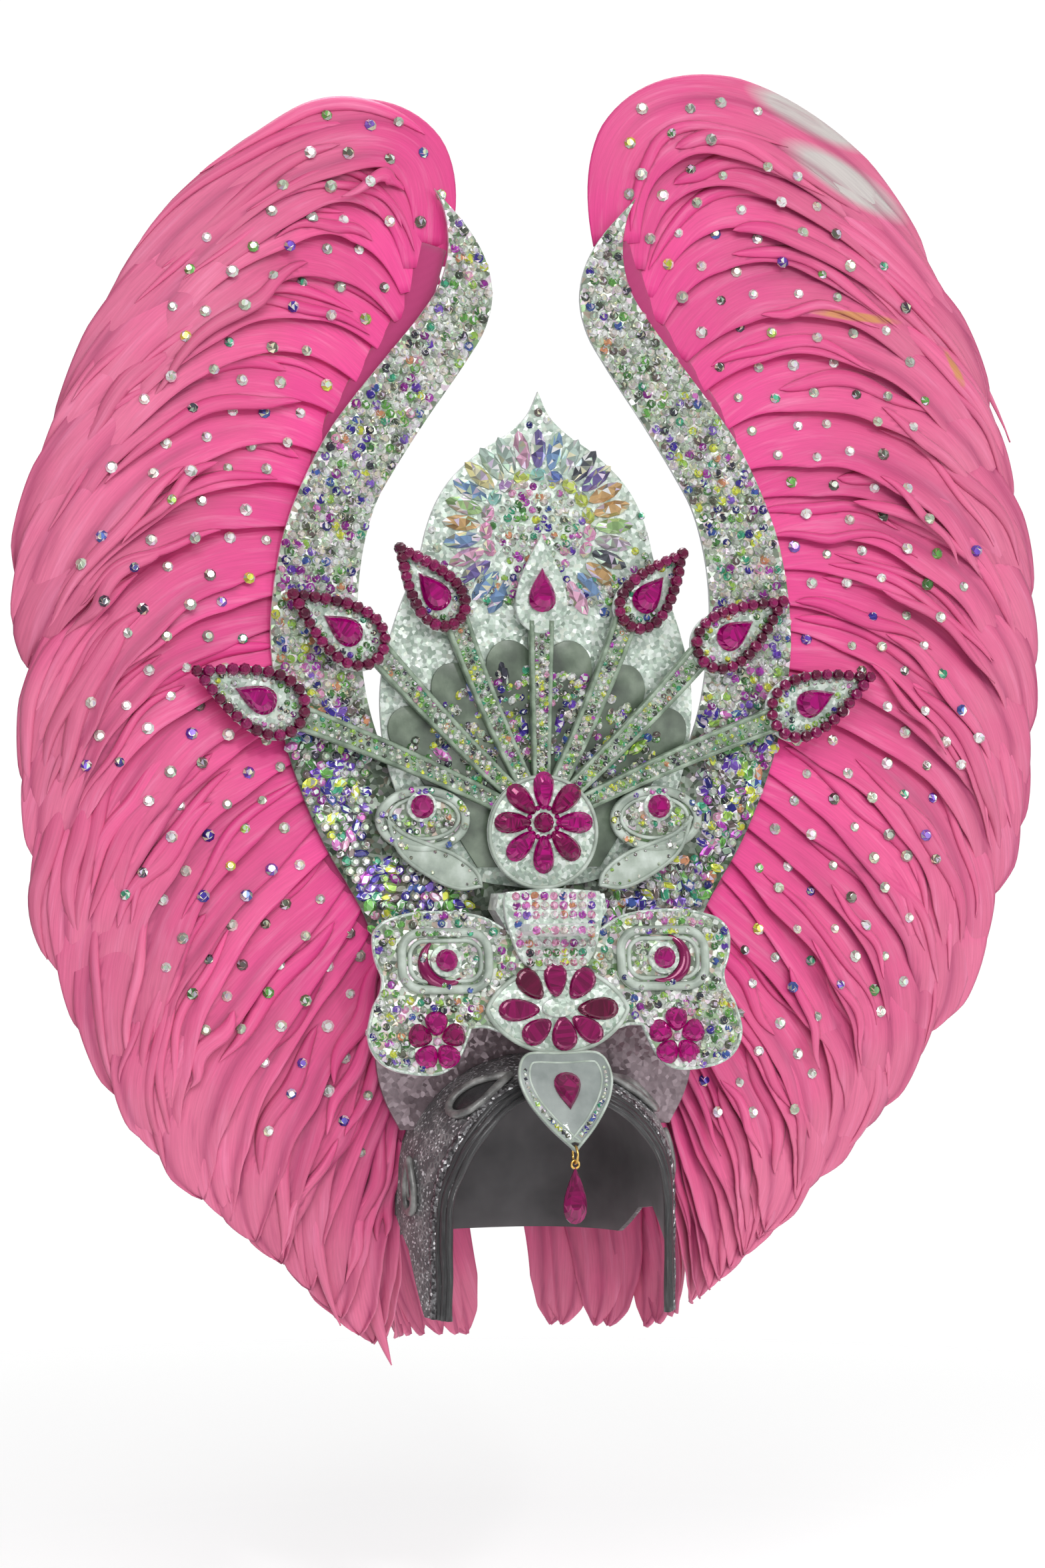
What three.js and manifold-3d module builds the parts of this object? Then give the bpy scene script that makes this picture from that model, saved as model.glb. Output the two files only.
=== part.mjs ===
// Carnival headdress: a close cap, a tall front of stacked cut-out boards set with cut stones,
// and two wings of long dyed feathers. Millimetres, +Z up, the front faces -Y.
// The origin is inside the cap, where the crown of the head meets it.

import * as THREE from 'three';
import { mergeVertices } from 'three/addons/utils/BufferGeometryUtils.js';
import Module from 'manifold-3d';

const wasm = await Module();
wasm.setup();

// Driving dimensions

const gap = 0.3; // clearance between pieces that touch
const board = 3; // foam board of the flat plates
const halfTurn = Math.PI;
const fullTurn = 2 * Math.PI;

// Inside of the cap: an upright oval with a domed top. Its plan is a little squarer than an ellipse.
const head = { halfWidth: 83, halfDepth: 98, centreY: 8, domeHeight: 73, bottomZ: -175, squareness: 2.6 };
const capWall = 3;
const faceOpening = { halfWidth: 70, archHeight: 82, springZ: -100, backY: -15 };
const faceBand = { width: 12, outside: 1.5, inside: 3, tabZ: -157 };

// Front faces of the stacked boards, from the back to the front.
const frontOf = { lyre: -12, ogive: -15.3, fan: -18.1, stem: -24, disc: -27.3 };

const flowerCentre = { x: 0, z: 146 };
const discRadius = 36;
const stemWidth = { start: 7, end: 12 };
const beadDiameter = 7;

const brow = { backY: -47, pivotZ: 74, tiltDegrees: -9 };
const forehead = { backY: -70, pivotZ: 0, tiltDegrees: -27 };

const colours = {
  glitter: 0xb9c4b4,
  silver: 0xc9d0c8,
  olive: 0x6f7a6c,
  magenta: 0xa3125f,
  wine: 0x7a0f45,
  feather: 0xf0509b,
  cap: 0x6d6c6c,
  band: 0x2a2024,
  gold: 0xc9a25c,
};

const headdress = new THREE.Group();

function finish(colour, roughness, metalness) {
  return new THREE.MeshStandardMaterial({ color: colour, roughness, metalness });
}

const finishes = {
  glitterBoard: finish(colours.glitter, 0.35, 0.6),
  silverBoard: finish(colours.silver, 0.35, 0.5),
  oliveBoard: finish(colours.olive, 0.5, 0.2),
  stone: finish(colours.magenta, 0.1, 0.1),
  bead: finish(colours.wine, 0.15, 0.1),
  feather: finish(colours.feather, 0.8, 0),
  cap: finish(colours.cap, 0.6, 0.3),
  band: finish(colours.band, 0.25, 0.1),
  metal: finish(colours.gold, 0.3, 1),
};

function addPiece(name, geometry, material, parent = headdress) {
  const mesh = new THREE.Mesh(geometry, material);
  mesh.name = name;
  parent.add(mesh);
  return mesh;
}

// Solids

// Turns a closed skin so that its faces point out, by the sign of its volume.
function facingOut(geometry) {
  const p = geometry.attributes.position;
  const index = geometry.index.array;
  const a = new THREE.Vector3();
  const b = new THREE.Vector3();
  const c = new THREE.Vector3();
  let volume = 0;
  for (let i = 0; i < index.length; i += 3) {
    a.fromBufferAttribute(p, index[i]);
    b.fromBufferAttribute(p, index[i + 1]);
    c.fromBufferAttribute(p, index[i + 2]);
    volume += a.dot(b.cross(c));
  }
  if (volume < 0) {
    for (let i = 0; i < index.length; i += 3) {
      [index[i], index[i + 1]] = [index[i + 1], index[i]];
    }
  }
  return geometry;
}

function welded(geometry) {
  const bare = geometry.clone();
  bare.deleteAttribute('normal');
  bare.deleteAttribute('uv');
  return facingOut(mergeVertices(bare, 1e-4));
}

function solidOf(geometry) {
  const skin = welded(geometry);
  const vertProperties = new Float32Array(skin.attributes.position.array);
  const triVerts = new Uint32Array(skin.index.array);
  return new wasm.Manifold(new wasm.Mesh({ numProp: 3, vertProperties, triVerts }));
}

function geometryOf(solid) {
  const mesh = solid.getMesh();
  const geometry = new THREE.BufferGeometry();
  geometry.setAttribute('position', new THREE.BufferAttribute(mesh.vertProperties, 3));
  geometry.setIndex(new THREE.BufferAttribute(mesh.triVerts, 1));
  return geometry;
}

function joined(geometries) {
  return geometryOf(geometries.map(solidOf).reduce((whole, next) => whole.add(next)));
}

// A closed skin through rings of equally many points. It has flat ends, or runs on into its start.
function loft(rings, endless = false) {
  const sides = rings[0].length;
  const index = [];
  const spans = endless ? rings.length : rings.length - 1;
  for (let ring = 0; ring < spans; ring += 1) {
    const here = ring * sides;
    const there = ((ring + 1) % rings.length) * sides;
    for (let side = 0; side < sides; side += 1) {
      const next = (side + 1) % sides;
      index.push(here + side, here + next, there + next, here + side, there + next, there + side);
    }
  }
  if (!endless) {
    const last = (rings.length - 1) * sides;
    for (let side = 1; side < sides - 1; side += 1) {
      index.push(0, side + 1, side, last, last + side, last + side + 1);
    }
  }
  const geometry = new THREE.BufferGeometry();
  const positions = rings.flatMap((ring) => ring.flatMap((point) => point.toArray()));
  geometry.setAttribute('position', new THREE.Float32BufferAttribute(positions, 3));
  geometry.setIndex(index);
  return facingOut(geometry);
}

// A board whose outline (x, z) is drawn as seen from the front, from its back face forward.
function boardOf(outline, backY, thickness, holes = []) {
  const turned = (points, clockwise) => {
    const flat = points.map((p) => new THREE.Vector2(p.x, p.z));
    return THREE.ShapeUtils.isClockWise(flat) === clockwise ? flat : flat.reverse();
  };
  const shape = new THREE.Shape(turned(outline, false));
  shape.holes = holes.map((hole) => new THREE.Path(turned(hole, true)));
  const geometry = new THREE.ExtrudeGeometry(shape, { depth: thickness, bevelEnabled: false });
  geometry.rotateX(halfTurn / 2);
  geometry.translate(0, backY, 0);
  return welded(geometry);
}

// Outlines, drawn in (x, z)

function curveThrough(points, count, closed = false) {
  const path = new THREE.CatmullRomCurve3(points.map((p) => new THREE.Vector3(p.x, 0, p.z)), closed);
  const samples = path.getSpacedPoints(count);
  return (closed ? samples.slice(0, count) : samples).map((p) => ({ x: p.x, z: p.z }));
}

function mirrored(points) {
  return points.map((p) => ({ x: -p.x, z: p.z }));
}

// The right half, listed from top to bottom, and its mirror image back up.
function bothHalves(rightHalf) {
  const leftHalf = mirrored(rightHalf).reverse();
  const meetTop = rightHalf[0].x === 0 ? leftHalf.slice(0, -1) : leftHalf;
  const last = rightHalf[rightHalf.length - 1];
  return [...rightHalf, ...(last.x === 0 ? meetTop.slice(1) : meetTop)];
}

function ellipse(width, height, count) {
  return Array.from({ length: count }, (_, i) => {
    const angle = ((i + 0.5) / count) * fullTurn;
    return { x: (width / 2) * Math.cos(angle), z: (height / 2) * Math.sin(angle) };
  });
}

// A drop with its point at +x.
function teardrop(length, width, count) {
  return Array.from({ length: count }, (_, i) => {
    const angle = (i / count) * fullTurn;
    const swell = Math.sin(angle) * Math.sin(angle / 2) ** 1.3;
    return { x: (length / 2) * Math.cos(angle), z: width * 0.58 * swell };
  });
}

// A petal with its narrow end towards the centre of the flower and its round end at +x.
function petal(length, width) {
  const narrow = width * 0.28;
  const wide = width / 2;
  return [
    { x: 0, z: -narrow },
    { x: length * 0.6, z: -wide },
    { x: length * 0.97, z: -wide * 0.5 },
    { x: length * 0.97, z: wide * 0.5 },
    { x: length * 0.6, z: wide },
    { x: 0, z: narrow },
  ];
}

function marquise(length, width) {
  const shoulder = length * 0.18;
  return [
    { x: length / 2, z: 0 },
    { x: shoulder, z: width / 2 },
    { x: -shoulder, z: width / 2 },
    { x: -length / 2, z: 0 },
    { x: -shoulder, z: -width / 2 },
    { x: shoulder, z: -width / 2 },
  ];
}

function roundedBlock(width, height, radius, cornerSteps) {
  const corners = [
    { x: width / 2 - radius, z: height / 2 - radius },
    { x: radius - width / 2, z: height / 2 - radius },
    { x: radius - width / 2, z: radius - height / 2 },
    { x: width / 2 - radius, z: radius - height / 2 },
  ];
  return corners.flatMap((corner, quarter) => Array.from({ length: cornerSteps + 1 }, (_, step) => {
    const angle = ((quarter + step / cornerSteps) * halfTurn) / 2;
    return { x: corner.x + radius * Math.cos(angle), z: corner.z + radius * Math.sin(angle) };
  }));
}

function placed(outline, x, z, angle = 0) {
  const c = Math.cos(angle);
  const s = Math.sin(angle);
  return outline.map((p) => ({ x: x + p.x * c - p.z * s, z: z + p.x * s + p.z * c }));
}

function scaled(outline, share) {
  const middle = outline.reduce((sum, p) => ({ x: sum.x + p.x, z: sum.z + p.z }), { x: 0, z: 0 });
  const cx = middle.x / outline.length;
  const cz = middle.z / outline.length;
  return outline.map((p) => ({ x: cx + (p.x - cx) * share, z: cz + (p.z - cz) * share }));
}

// A strip along a line of points, of one width at its start and another at its end.
function strip(points, startWidth, endWidth = startWidth) {
  const side = (i, sign) => {
    const width = startWidth + ((endWidth - startWidth) * i) / (points.length - 1);
    const before = points[Math.max(i - 1, 0)];
    const after = points[Math.min(i + 1, points.length - 1)];
    const length = Math.hypot(after.x - before.x, after.z - before.z);
    const reach = (sign * width) / 2 / length;
    return { x: points[i].x - (after.z - before.z) * reach, z: points[i].z + (after.x - before.x) * reach };
  };
  const right = points.map((_, i) => side(i, -1));
  const left = points.map((_, i) => side(i, 1)).reverse();
  return [...right, ...left];
}

// A flat-backed cut stone: a short wall, a sloping crown and a flat table.
function cutStone(outline, backY, height, tableShare = 0.5) {
  const ringAt = (points, y) => points.map((p) => new THREE.Vector3(p.x, y, p.z));
  return loft([
    ringAt(scaled(outline, 0.94), backY),
    ringAt(outline, backY - height * 0.35),
    ringAt(scaled(outline, tableShare), backY - height),
  ]);
}

// A small flat-backed stone without the wall.
function smallStone(outline, backY, height) {
  const ringAt = (points, y) => points.map((p) => new THREE.Vector3(p.x, y, p.z));
  return loft([ringAt(outline, backY), ringAt(scaled(outline, 0.5), backY - height)]);
}

// A round-sectioned tube along a closed line of points.
function closedTube(points, radius, sides) {
  const rings = points.map((point, i) => {
    const before = points[(i + points.length - 1) % points.length];
    const after = points[(i + 1) % points.length];
    const along = new THREE.Vector3().subVectors(after, before).normalize();
    const across = new THREE.Vector3(0, -1, 0).cross(along).normalize();
    const out = new THREE.Vector3().crossVectors(along, across);
    return Array.from({ length: sides }, (_, side) => {
      const angle = (side / sides) * fullTurn;
      return point.clone()
        .addScaledVector(across, radius * Math.cos(angle))
        .addScaledVector(out, radius * Math.sin(angle));
    });
  });
  return loft(rings, true);
}

// Cap

const headSides = 24;
const domeRings = 6;

// The solid that fills the inside of the cap, grown outwards by a wall.
function headForm(grow) {
  const profile = [new THREE.Vector2(0, head.bottomZ - grow), new THREE.Vector2(1, head.bottomZ - grow)];
  for (let ring = 0; ring < domeRings; ring += 1) {
    const angle = ((ring / domeRings) * halfTurn) / 2;
    const rise = (head.domeHeight + grow) * Math.sin(angle);
    profile.push(new THREE.Vector2(Math.cos(angle), rise - head.domeHeight));
  }
  profile.push(new THREE.Vector2(0, grow));
  const geometry = new THREE.LatheGeometry(profile, headSides).rotateX(halfTurn / 2);
  const p = geometry.attributes.position;
  for (let i = 0; i < p.count; i += 1) {
    const radius = Math.hypot(p.getX(i), p.getY(i));
    const power = 2 / head.squareness;
    const squared = (value) => (radius ? Math.sign(value) * Math.abs(value / radius) ** power : 0);
    p.setX(i, (head.halfWidth + grow) * radius * squared(p.getX(i)));
    p.setY(i, head.centreY + (head.halfDepth + grow) * radius * squared(p.getY(i)));
  }
  return solidOf(geometry);
}

// How far out a point is: 1 on the surface of the grown head form, and less inside it.
function capReach(point, grow) {
  const power = head.squareness;
  const across = Math.abs(point.x) / (head.halfWidth + grow);
  const deep = Math.abs(point.y - head.centreY) / (head.halfDepth + grow);
  const rise = Math.max(point.z + head.domeHeight, 0) / (head.domeHeight + grow);
  return (across ** power + deep ** power) ** (2 / power) + rise ** 2;
}

// Where a line from inside the head form leaves its grown surface.
function ontoCap(start, direction, grow) {
  let near = 0;
  let far = 200;
  for (let halving = 0; halving < 24; halving += 1) {
    const middle = (near + far) / 2;
    const inside = capReach(start.clone().addScaledVector(direction, middle), grow) < 1;
    near = inside ? middle : near;
    far = inside ? far : middle;
  }
  return start.clone().addScaledVector(direction, near);
}

function onCap(x, z, grow) {
  return ontoCap(new THREE.Vector3(x, head.centreY, z), new THREE.Vector3(0, -1, 0), grow);
}

function capOutward(point) {
  const step = 0.5;
  const slope = ['x', 'y', 'z'].map((axis) => {
    const ahead = point.clone();
    ahead[axis] += step;
    const behind = point.clone();
    behind[axis] -= step;
    return capReach(ahead, 0) - capReach(behind, 0);
  });
  return new THREE.Vector3(...slope).normalize();
}

// The edge of the face opening, from the tip of the left tab over the brow to the right tab.
function faceEdge() {
  const side = (sign) => [faceBand.tabZ, -138, -119].map((z) => ({ x: sign * faceOpening.halfWidth, z }));
  const archSteps = 14;
  const arch = Array.from({ length: archSteps + 1 }, (_, i) => {
    const angle = halfTurn * (1 - i / archSteps);
    return {
      x: faceOpening.halfWidth * Math.cos(angle),
      z: faceOpening.springZ + faceOpening.archHeight * Math.sin(angle),
    };
  });
  return [...side(-1), ...arch, ...side(1).reverse()];
}

// The band itself, or with clearance and slack the room that is cut for it.
function faceBandSkin(clearance, slack = 0) {
  const edge = faceEdge();
  const rings = edge.map((p, i) => {
    const before = edge[Math.max(i - 1, 0)];
    const after = edge[Math.min(i + 1, edge.length - 1)];
    const outward = capOutward(onCap(p.x, p.z, 0));
    const along = onCap(after.x, after.z, capWall).sub(onCap(before.x, before.z, capWall)).normalize();
    const away = new THREE.Vector3().crossVectors(outward, along).normalize();
    const corner = (share, lift) => onCap(p.x, p.z, capWall)
      .addScaledVector(away, share)
      .addScaledVector(outward, lift);
    const wide = faceBand.width + clearance;
    return [
      corner(-slack, faceBand.outside + slack),
      corner(wide, faceBand.outside + slack),
      corner(wide, -faceBand.inside - slack),
      corner(-slack, -faceBand.inside - slack),
    ];
  });
  return loft(rings);
}

// Side view of all that lies under the cap's rim: below the tab, over the side and under the nape.
const rimLine = [
  { y: -300, z: -157 },
  { y: -42, z: -157 },
  { y: -20, z: -118 },
  { y: 8, z: -100 },
  { y: 34, z: -104 },
  { y: 60, z: -122 },
  { y: 300, z: -126 },
  { y: 300, z: -400 },
  { y: -300, z: -400 },
];

function underRim() {
  const shape = new THREE.Shape(rimLine.map((p) => new THREE.Vector2(p.y, p.z)));
  const reach = 300;
  const geometry = new THREE.ExtrudeGeometry(shape, { depth: reach, bevelEnabled: false });
  geometry.translate(0, 0, -reach / 2);
  geometry.rotateX(halfTurn / 2);
  geometry.rotateZ(halfTurn / 2);
  return solidOf(geometry);
}

function faceHole() {
  const arch = ellipse(2 * faceOpening.halfWidth, 2 * faceOpening.archHeight, 24)
    .map((p) => ({ x: p.x, z: faceOpening.springZ + p.z }));
  const below = [
    { x: -faceOpening.halfWidth, z: -300 },
    { x: faceOpening.halfWidth, z: -300 },
    { x: faceOpening.halfWidth, z: faceOpening.springZ },
    { x: -faceOpening.halfWidth, z: faceOpening.springZ },
  ];
  const reach = 200;
  const archSolid = solidOf(boardOf(arch, faceOpening.backY, reach));
  return archSolid.add(solidOf(boardOf(below, faceOpening.backY, reach)));
}

const capShell = headForm(capWall)
  .subtract(headForm(0))
  .subtract(faceHole())
  .subtract(solidOf(faceBandSkin(gap, 4)))
  .subtract(underRim());
addPiece('cap_shell', geometryOf(capShell), finishes.cap);
addPiece('face_band', faceBandSkin(0), finishes.band);

// Loops of trim on the cap: each lies round a point of it, with its narrow end in a direction.
const capScrolls = [
  { name: 'cap_scroll_left_upper', x: -45, z: -22, length: 44, width: 27, pointsTo: 55 },
  { name: 'cap_scroll_left_lower', x: -81, z: -78, length: 32, width: 17, pointsTo: 95 },
  { name: 'cap_scroll_right_upper', x: 53, z: -24, length: 40, width: 22, pointsTo: 130 },
  { name: 'cap_scroll_right_lower', x: 82, z: -66, length: 32, width: 16, pointsTo: 100 },
];
const scrollTube = { radius: 2.5, sides: 5, steps: 13 };

function capScroll(scroll) {
  const lift = capWall + scrollTube.radius + gap;
  const seat = onCap(scroll.x, scroll.z, 0);
  const outward = capOutward(seat);
  const across = new THREE.Vector3(0, 0, 1).cross(outward).normalize();
  const up = new THREE.Vector3().crossVectors(outward, across);
  const outline = placed(
    teardrop(scroll.length, scroll.width, scrollTube.steps),
    0,
    0,
    THREE.MathUtils.degToRad(scroll.pointsTo),
  );
  const path = outline.map((p) => {
    const start = seat.clone().addScaledVector(outward, -30);
    start.addScaledVector(across, p.x).addScaledVector(up, p.z);
    return ontoCap(start, outward, lift);
  });
  return closedTube(path, scrollTube.radius, scrollTube.sides);
}

for (const scroll of capScrolls) {
  addPiece(scroll.name, capScroll(scroll), finishes.cap);
}

// Lyre plate: the tall frame with two horns, open between them, and legs that reach down beside
// the cap. Points run down its right half.

const hornOuterEdge = [
  { x: 60, z: 528 },
  { x: 57, z: 508 },
  { x: 60, z: 488 },
  { x: 68, z: 472 },
  { x: 88, z: 446 },
  { x: 110, z: 419 },
  { x: 132, z: 390 },
  { x: 149, z: 358 },
  { x: 161, z: 327 },
  { x: 168, z: 292 },
  { x: 170, z: 255 },
  { x: 161, z: 197 },
  { x: 151, z: 166 },
  { x: 137, z: 134 },
  { x: 109, z: 84 },
  { x: 99, z: 44 },
  { x: 104, z: 4 },
  { x: 98, z: -26 },
  { x: 88, z: -45 },
];
const hornInnerEdge = [
  { x: 42, z: 514 },
  { x: 29, z: 486 },
  { x: 32, z: 458 },
  { x: 46, z: 433 },
  { x: 67, z: 403 },
  { x: 88, z: 371 },
  { x: 103, z: 345 },
  { x: 111, z: 318 },
  { x: 115, z: 285 },
  { x: 112, z: 240 },
  { x: 104, z: 204 },
  { x: 88, z: 172 },
  { x: 50, z: 148 },
  { x: 0, z: 140 },
];
const hornTip = { x: 66, z: 541 };

function lyreOutline() {
  const outer = curveThrough(hornOuterEdge, 27);
  const inner = curveThrough(hornInnerEdge, 22);
  const rightHalf = [...inner.reverse(), hornTip, ...outer];
  return [...rightHalf, ...mirrored(rightHalf).reverse().slice(0, -1)];
}

const lyre = solidOf(boardOf(lyreOutline(), frontOf.lyre + board, board)).subtract(headForm(capWall + gap));
addPiece('lyre_plate', geometryOf(lyre), finishes.glitterBoard);

// Ogive: the pointed panel between the horns, with a horseshoe of marquise stones.

const ogiveEdge = [
  { x: 0, z: 416 },
  { x: 5, z: 404 },
  { x: 16, z: 392 },
  { x: 38, z: 377 },
  { x: 58, z: 358 },
  { x: 70, z: 336 },
  { x: 77, z: 310 },
  { x: 92, z: 272 },
  { x: 101, z: 236 },
  { x: 101, z: 205 },
  { x: 94, z: 172 },
  { x: 76, z: 136 },
  { x: 45, z: 112 },
  { x: 0, z: 104 },
];
const ogiveBack = frontOf.lyre - gap;
const ogiveOutline = bothHalves(curveThrough(ogiveEdge, 24));
addPiece('ogive_plate', boardOf(ogiveOutline, ogiveBack, board), finishes.silverBoard);

const horseshoe = { x: 0, z: 330, radius: 50, stones: 21, openDegrees: 70, backing: 1 };
const horseshoeStone = { length: 17, width: 7.5, height: 3 };

function horseshoeField() {
  const open = THREE.MathUtils.degToRad(horseshoe.openDegrees);
  const start = -halfTurn / 2 + open / 2;
  const span = fullTurn - open;
  const backY = frontOf.ogive - gap;
  const rim = Array.from({ length: horseshoe.stones + 1 }, (_, i) => {
    const angle = start + (span * i) / horseshoe.stones;
    return {
      x: horseshoe.x + horseshoe.radius * Math.cos(angle),
      z: horseshoe.z + horseshoe.radius * Math.sin(angle),
    };
  });
  const backing = boardOf(strip(rim, horseshoeStone.width), backY, horseshoe.backing);
  const stones = Array.from({ length: horseshoe.stones }, (_, i) => {
    const angle = start + (span * (i + 0.5)) / horseshoe.stones;
    const x = horseshoe.x + horseshoe.radius * Math.cos(angle);
    const z = horseshoe.z + horseshoe.radius * Math.sin(angle);
    const outline = placed(marquise(horseshoeStone.length, horseshoeStone.width), x, z, angle);
    return smallStone(outline, backY - horseshoe.backing / 2, horseshoeStone.height);
  });
  return joined([backing, ...stones]);
}

addPiece('marquise_horseshoe', horseshoeField(), finishes.silverBoard);

// Fan backing: a dark board with a rounded leaf between each two stems.

const stems = [
  { name: '1', baseX: -150, baseZ: 209, tipX: -222, tipZ: 240, bend: 4, beads: true },
  { name: '2', baseX: -101, baseZ: 248, tipX: -162, tipZ: 288, bend: -3, beads: true },
  { name: '3', baseX: -53, baseZ: 268, tipX: -94, tipZ: 318, bend: -4, beads: true },
  { name: '4', baseX: 0, baseZ: 264, tipX: 0, tipZ: 326, bend: 0, beads: false },
  { name: '5', baseX: 53, baseZ: 268, tipX: 94, tipZ: 318, bend: 4, beads: true },
  { name: '6', baseX: 101, baseZ: 248, tipX: 162, tipZ: 288, bend: 3, beads: true },
  { name: '7', baseX: 150, baseZ: 209, tipX: 222, tipZ: 240, bend: -4, beads: true },
];
const fan = { innerRadius: 92, outerRadius: 116, fromDegrees: 24, toDegrees: 156, leaves: 6, lowestZ: 118 };

function fanOutline() {
  const steps = fan.leaves * 6;
  const from = THREE.MathUtils.degToRad(fan.fromDegrees);
  const to = THREE.MathUtils.degToRad(fan.toDegrees);
  const rim = Array.from({ length: steps + 1 }, (_, i) => {
    const share = i / steps;
    const angle = from + (to - from) * share;
    const swell = Math.abs(Math.sin(share * fan.leaves * halfTurn)) ** 0.6;
    const radius = fan.innerRadius + (fan.outerRadius - fan.innerRadius) * swell;
    return { x: flowerCentre.x + radius * Math.cos(angle), z: flowerCentre.z + radius * Math.sin(angle) };
  });
  return [...rim, { x: -40, z: fan.lowestZ }, { x: 40, z: fan.lowestZ }];
}

const fanBack = frontOf.ogive - gap;
const fanField = { backY: fanBack, thickness: fanBack - frontOf.fan };
const fanSolid = solidOf(boardOf(fanOutline(), fanField.backY, fanField.thickness));
const horseshoeRoom = ellipse(2 * horseshoe.radius + 19, 2 * horseshoe.radius + 19, 24);
const fanCut = boardOf(placed(horseshoeRoom, horseshoe.x, horseshoe.z), fanBack + 1, 10);
addPiece('fan_backing', geometryOf(fanSolid.subtract(solidOf(fanCut))), finishes.oliveBoard);

// Stems with their heads: a raised strip that ends in a teardrop board.

const stemBack = frontOf.fan - gap;

function stemLine(stem) {
  const from = new THREE.Vector2(flowerCentre.x, flowerCentre.z);
  const to = new THREE.Vector2(stem.baseX, stem.baseZ);
  const along = to.clone().sub(from).normalize();
  const start = from.clone().addScaledVector(along, discRadius * 0.66);
  const middle = start.clone().lerp(to, 0.55);
  middle.add(new THREE.Vector2(-along.y, along.x).multiplyScalar(-stem.bend));
  const end = to.clone().addScaledVector(along, 8);
  return new THREE.QuadraticBezierCurve(start, middle, end).getPoints(6).map((p) => ({ x: p.x, z: p.y }));
}

function headAngle(stem) {
  return Math.atan2(stem.tipZ - stem.baseZ, stem.tipX - stem.baseX);
}

function headOutline(stem, length, width, count) {
  const x = (stem.baseX + stem.tipX) / 2;
  const z = (stem.baseZ + stem.tipZ) / 2;
  return placed(teardrop(length, width, count), x, z, headAngle(stem));
}

function lengthOfHead(stem) {
  return Math.hypot(stem.tipX - stem.baseX, stem.tipZ - stem.baseZ);
}

const teardropStone = { length: 26, width: 17, height: 7, alongHead: -4 };
const headStoneBack = frontOf.stem - gap;

for (const stem of stems) {
  const strandOutline = strip(stemLine(stem), stemWidth.start, stemWidth.end);
  const strand = boardOf(strandOutline, stemBack, stemBack - frontOf.stem);
  const length = lengthOfHead(stem);
  const width = length * 0.64;
  const face = boardOf(headOutline(stem, length, width, 16), frontOf.stem + board, board);
  addPiece(`stem_${stem.name}`, joined([strand, face]), finishes.glitterBoard);

  if (stem.beads) {
    const radius = beadDiameter / 2;
    const border = headOutline(stem, length - beadDiameter, width - beadDiameter, 14);
    const path = border.map((p) => new THREE.Vector3(p.x, headStoneBack - radius, p.z));
    addPiece(`bead_border_${stem.name}`, closedTube(path, radius, 5), finishes.bead);
  }

  const angle = headAngle(stem);
  const x = (stem.baseX + stem.tipX) / 2 + teardropStone.alongHead * Math.cos(angle);
  const z = (stem.baseZ + stem.tipZ) / 2 + teardropStone.alongHead * Math.sin(angle);
  const outline = placed(teardrop(teardropStone.length, teardropStone.width, 12), x, z, angle);
  const stone = cutStone(outline, headStoneBack, teardropStone.height);
  addPiece(`teardrop_stone_${stem.name}`, stone, finishes.stone);
}

// Flowers: petals of cut stone round a centre stone, fused by a small setting behind them.

function flower({ petals, length, width, start, height, turn, centre, backY, squash = 1, cut = cutStone }) {
  const setting = 1.2;
  const hubWidth = 2 * start + length * 0.7;
  const hub = boardOf(ellipse(hubWidth, hubWidth * squash, 8), backY, setting);
  const stones = Array.from({ length: petals }, (_, i) => {
    const angle = turn + (i / petals) * fullTurn;
    const x = start * Math.cos(angle);
    const z = start * squash * Math.sin(angle);
    const reach = Math.atan2(Math.sin(angle) * squash, Math.cos(angle));
    return cut(placed(petal(length, width), x, z, reach), backY - setting / 2, height);
  });
  const middle = cut(ellipse(centre.width, centre.height, 8), backY - setting / 2, centre.rise);
  return joined([hub, ...stones, middle]);
}

const discBack = frontOf.stem - gap;
const disc = ellipse(2 * discRadius, 2 * discRadius, 24);
addPiece(
  'upper_disc',
  boardOf(placed(disc, flowerCentre.x, flowerCentre.z - 6), discBack, discBack - frontOf.disc),
  finishes.silverBoard,
);
const upperFlower = addPiece(
  'upper_flower',
  flower({
    petals: 8,
    length: 23,
    width: 11,
    start: 8,
    height: 5,
    turn: THREE.MathUtils.degToRad(5),
    centre: { width: 13, height: 13, rise: 7 },
    backY: 0,
  }),
  finishes.stone,
);
upperFlower.position.set(flowerCentre.x, frontOf.disc - gap, flowerCentre.z);

// Side scrolls: an open oval with a raised edge round a stone, and a leaf that sweeps to the waist.

const sideScroll = { x: 75, z: 149, width: 54, height: 36, base: 2, rise: 5, edge: 5 };
const scrollLeaf = [
  { x: 100, z: 150 },
  { x: 92, z: 128 },
  { x: 72, z: 112 },
  { x: 52, z: 104 },
  { x: 38, z: 106 },
  { x: 40, z: 114 },
  { x: 54, z: 126 },
  { x: 74, z: 134 },
  { x: 88, z: 140 },
];
const roundStone = { diameter: 15, height: 7, x: 77, z: 156 };
const scrollBack = frontOf.fan - gap;

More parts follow.
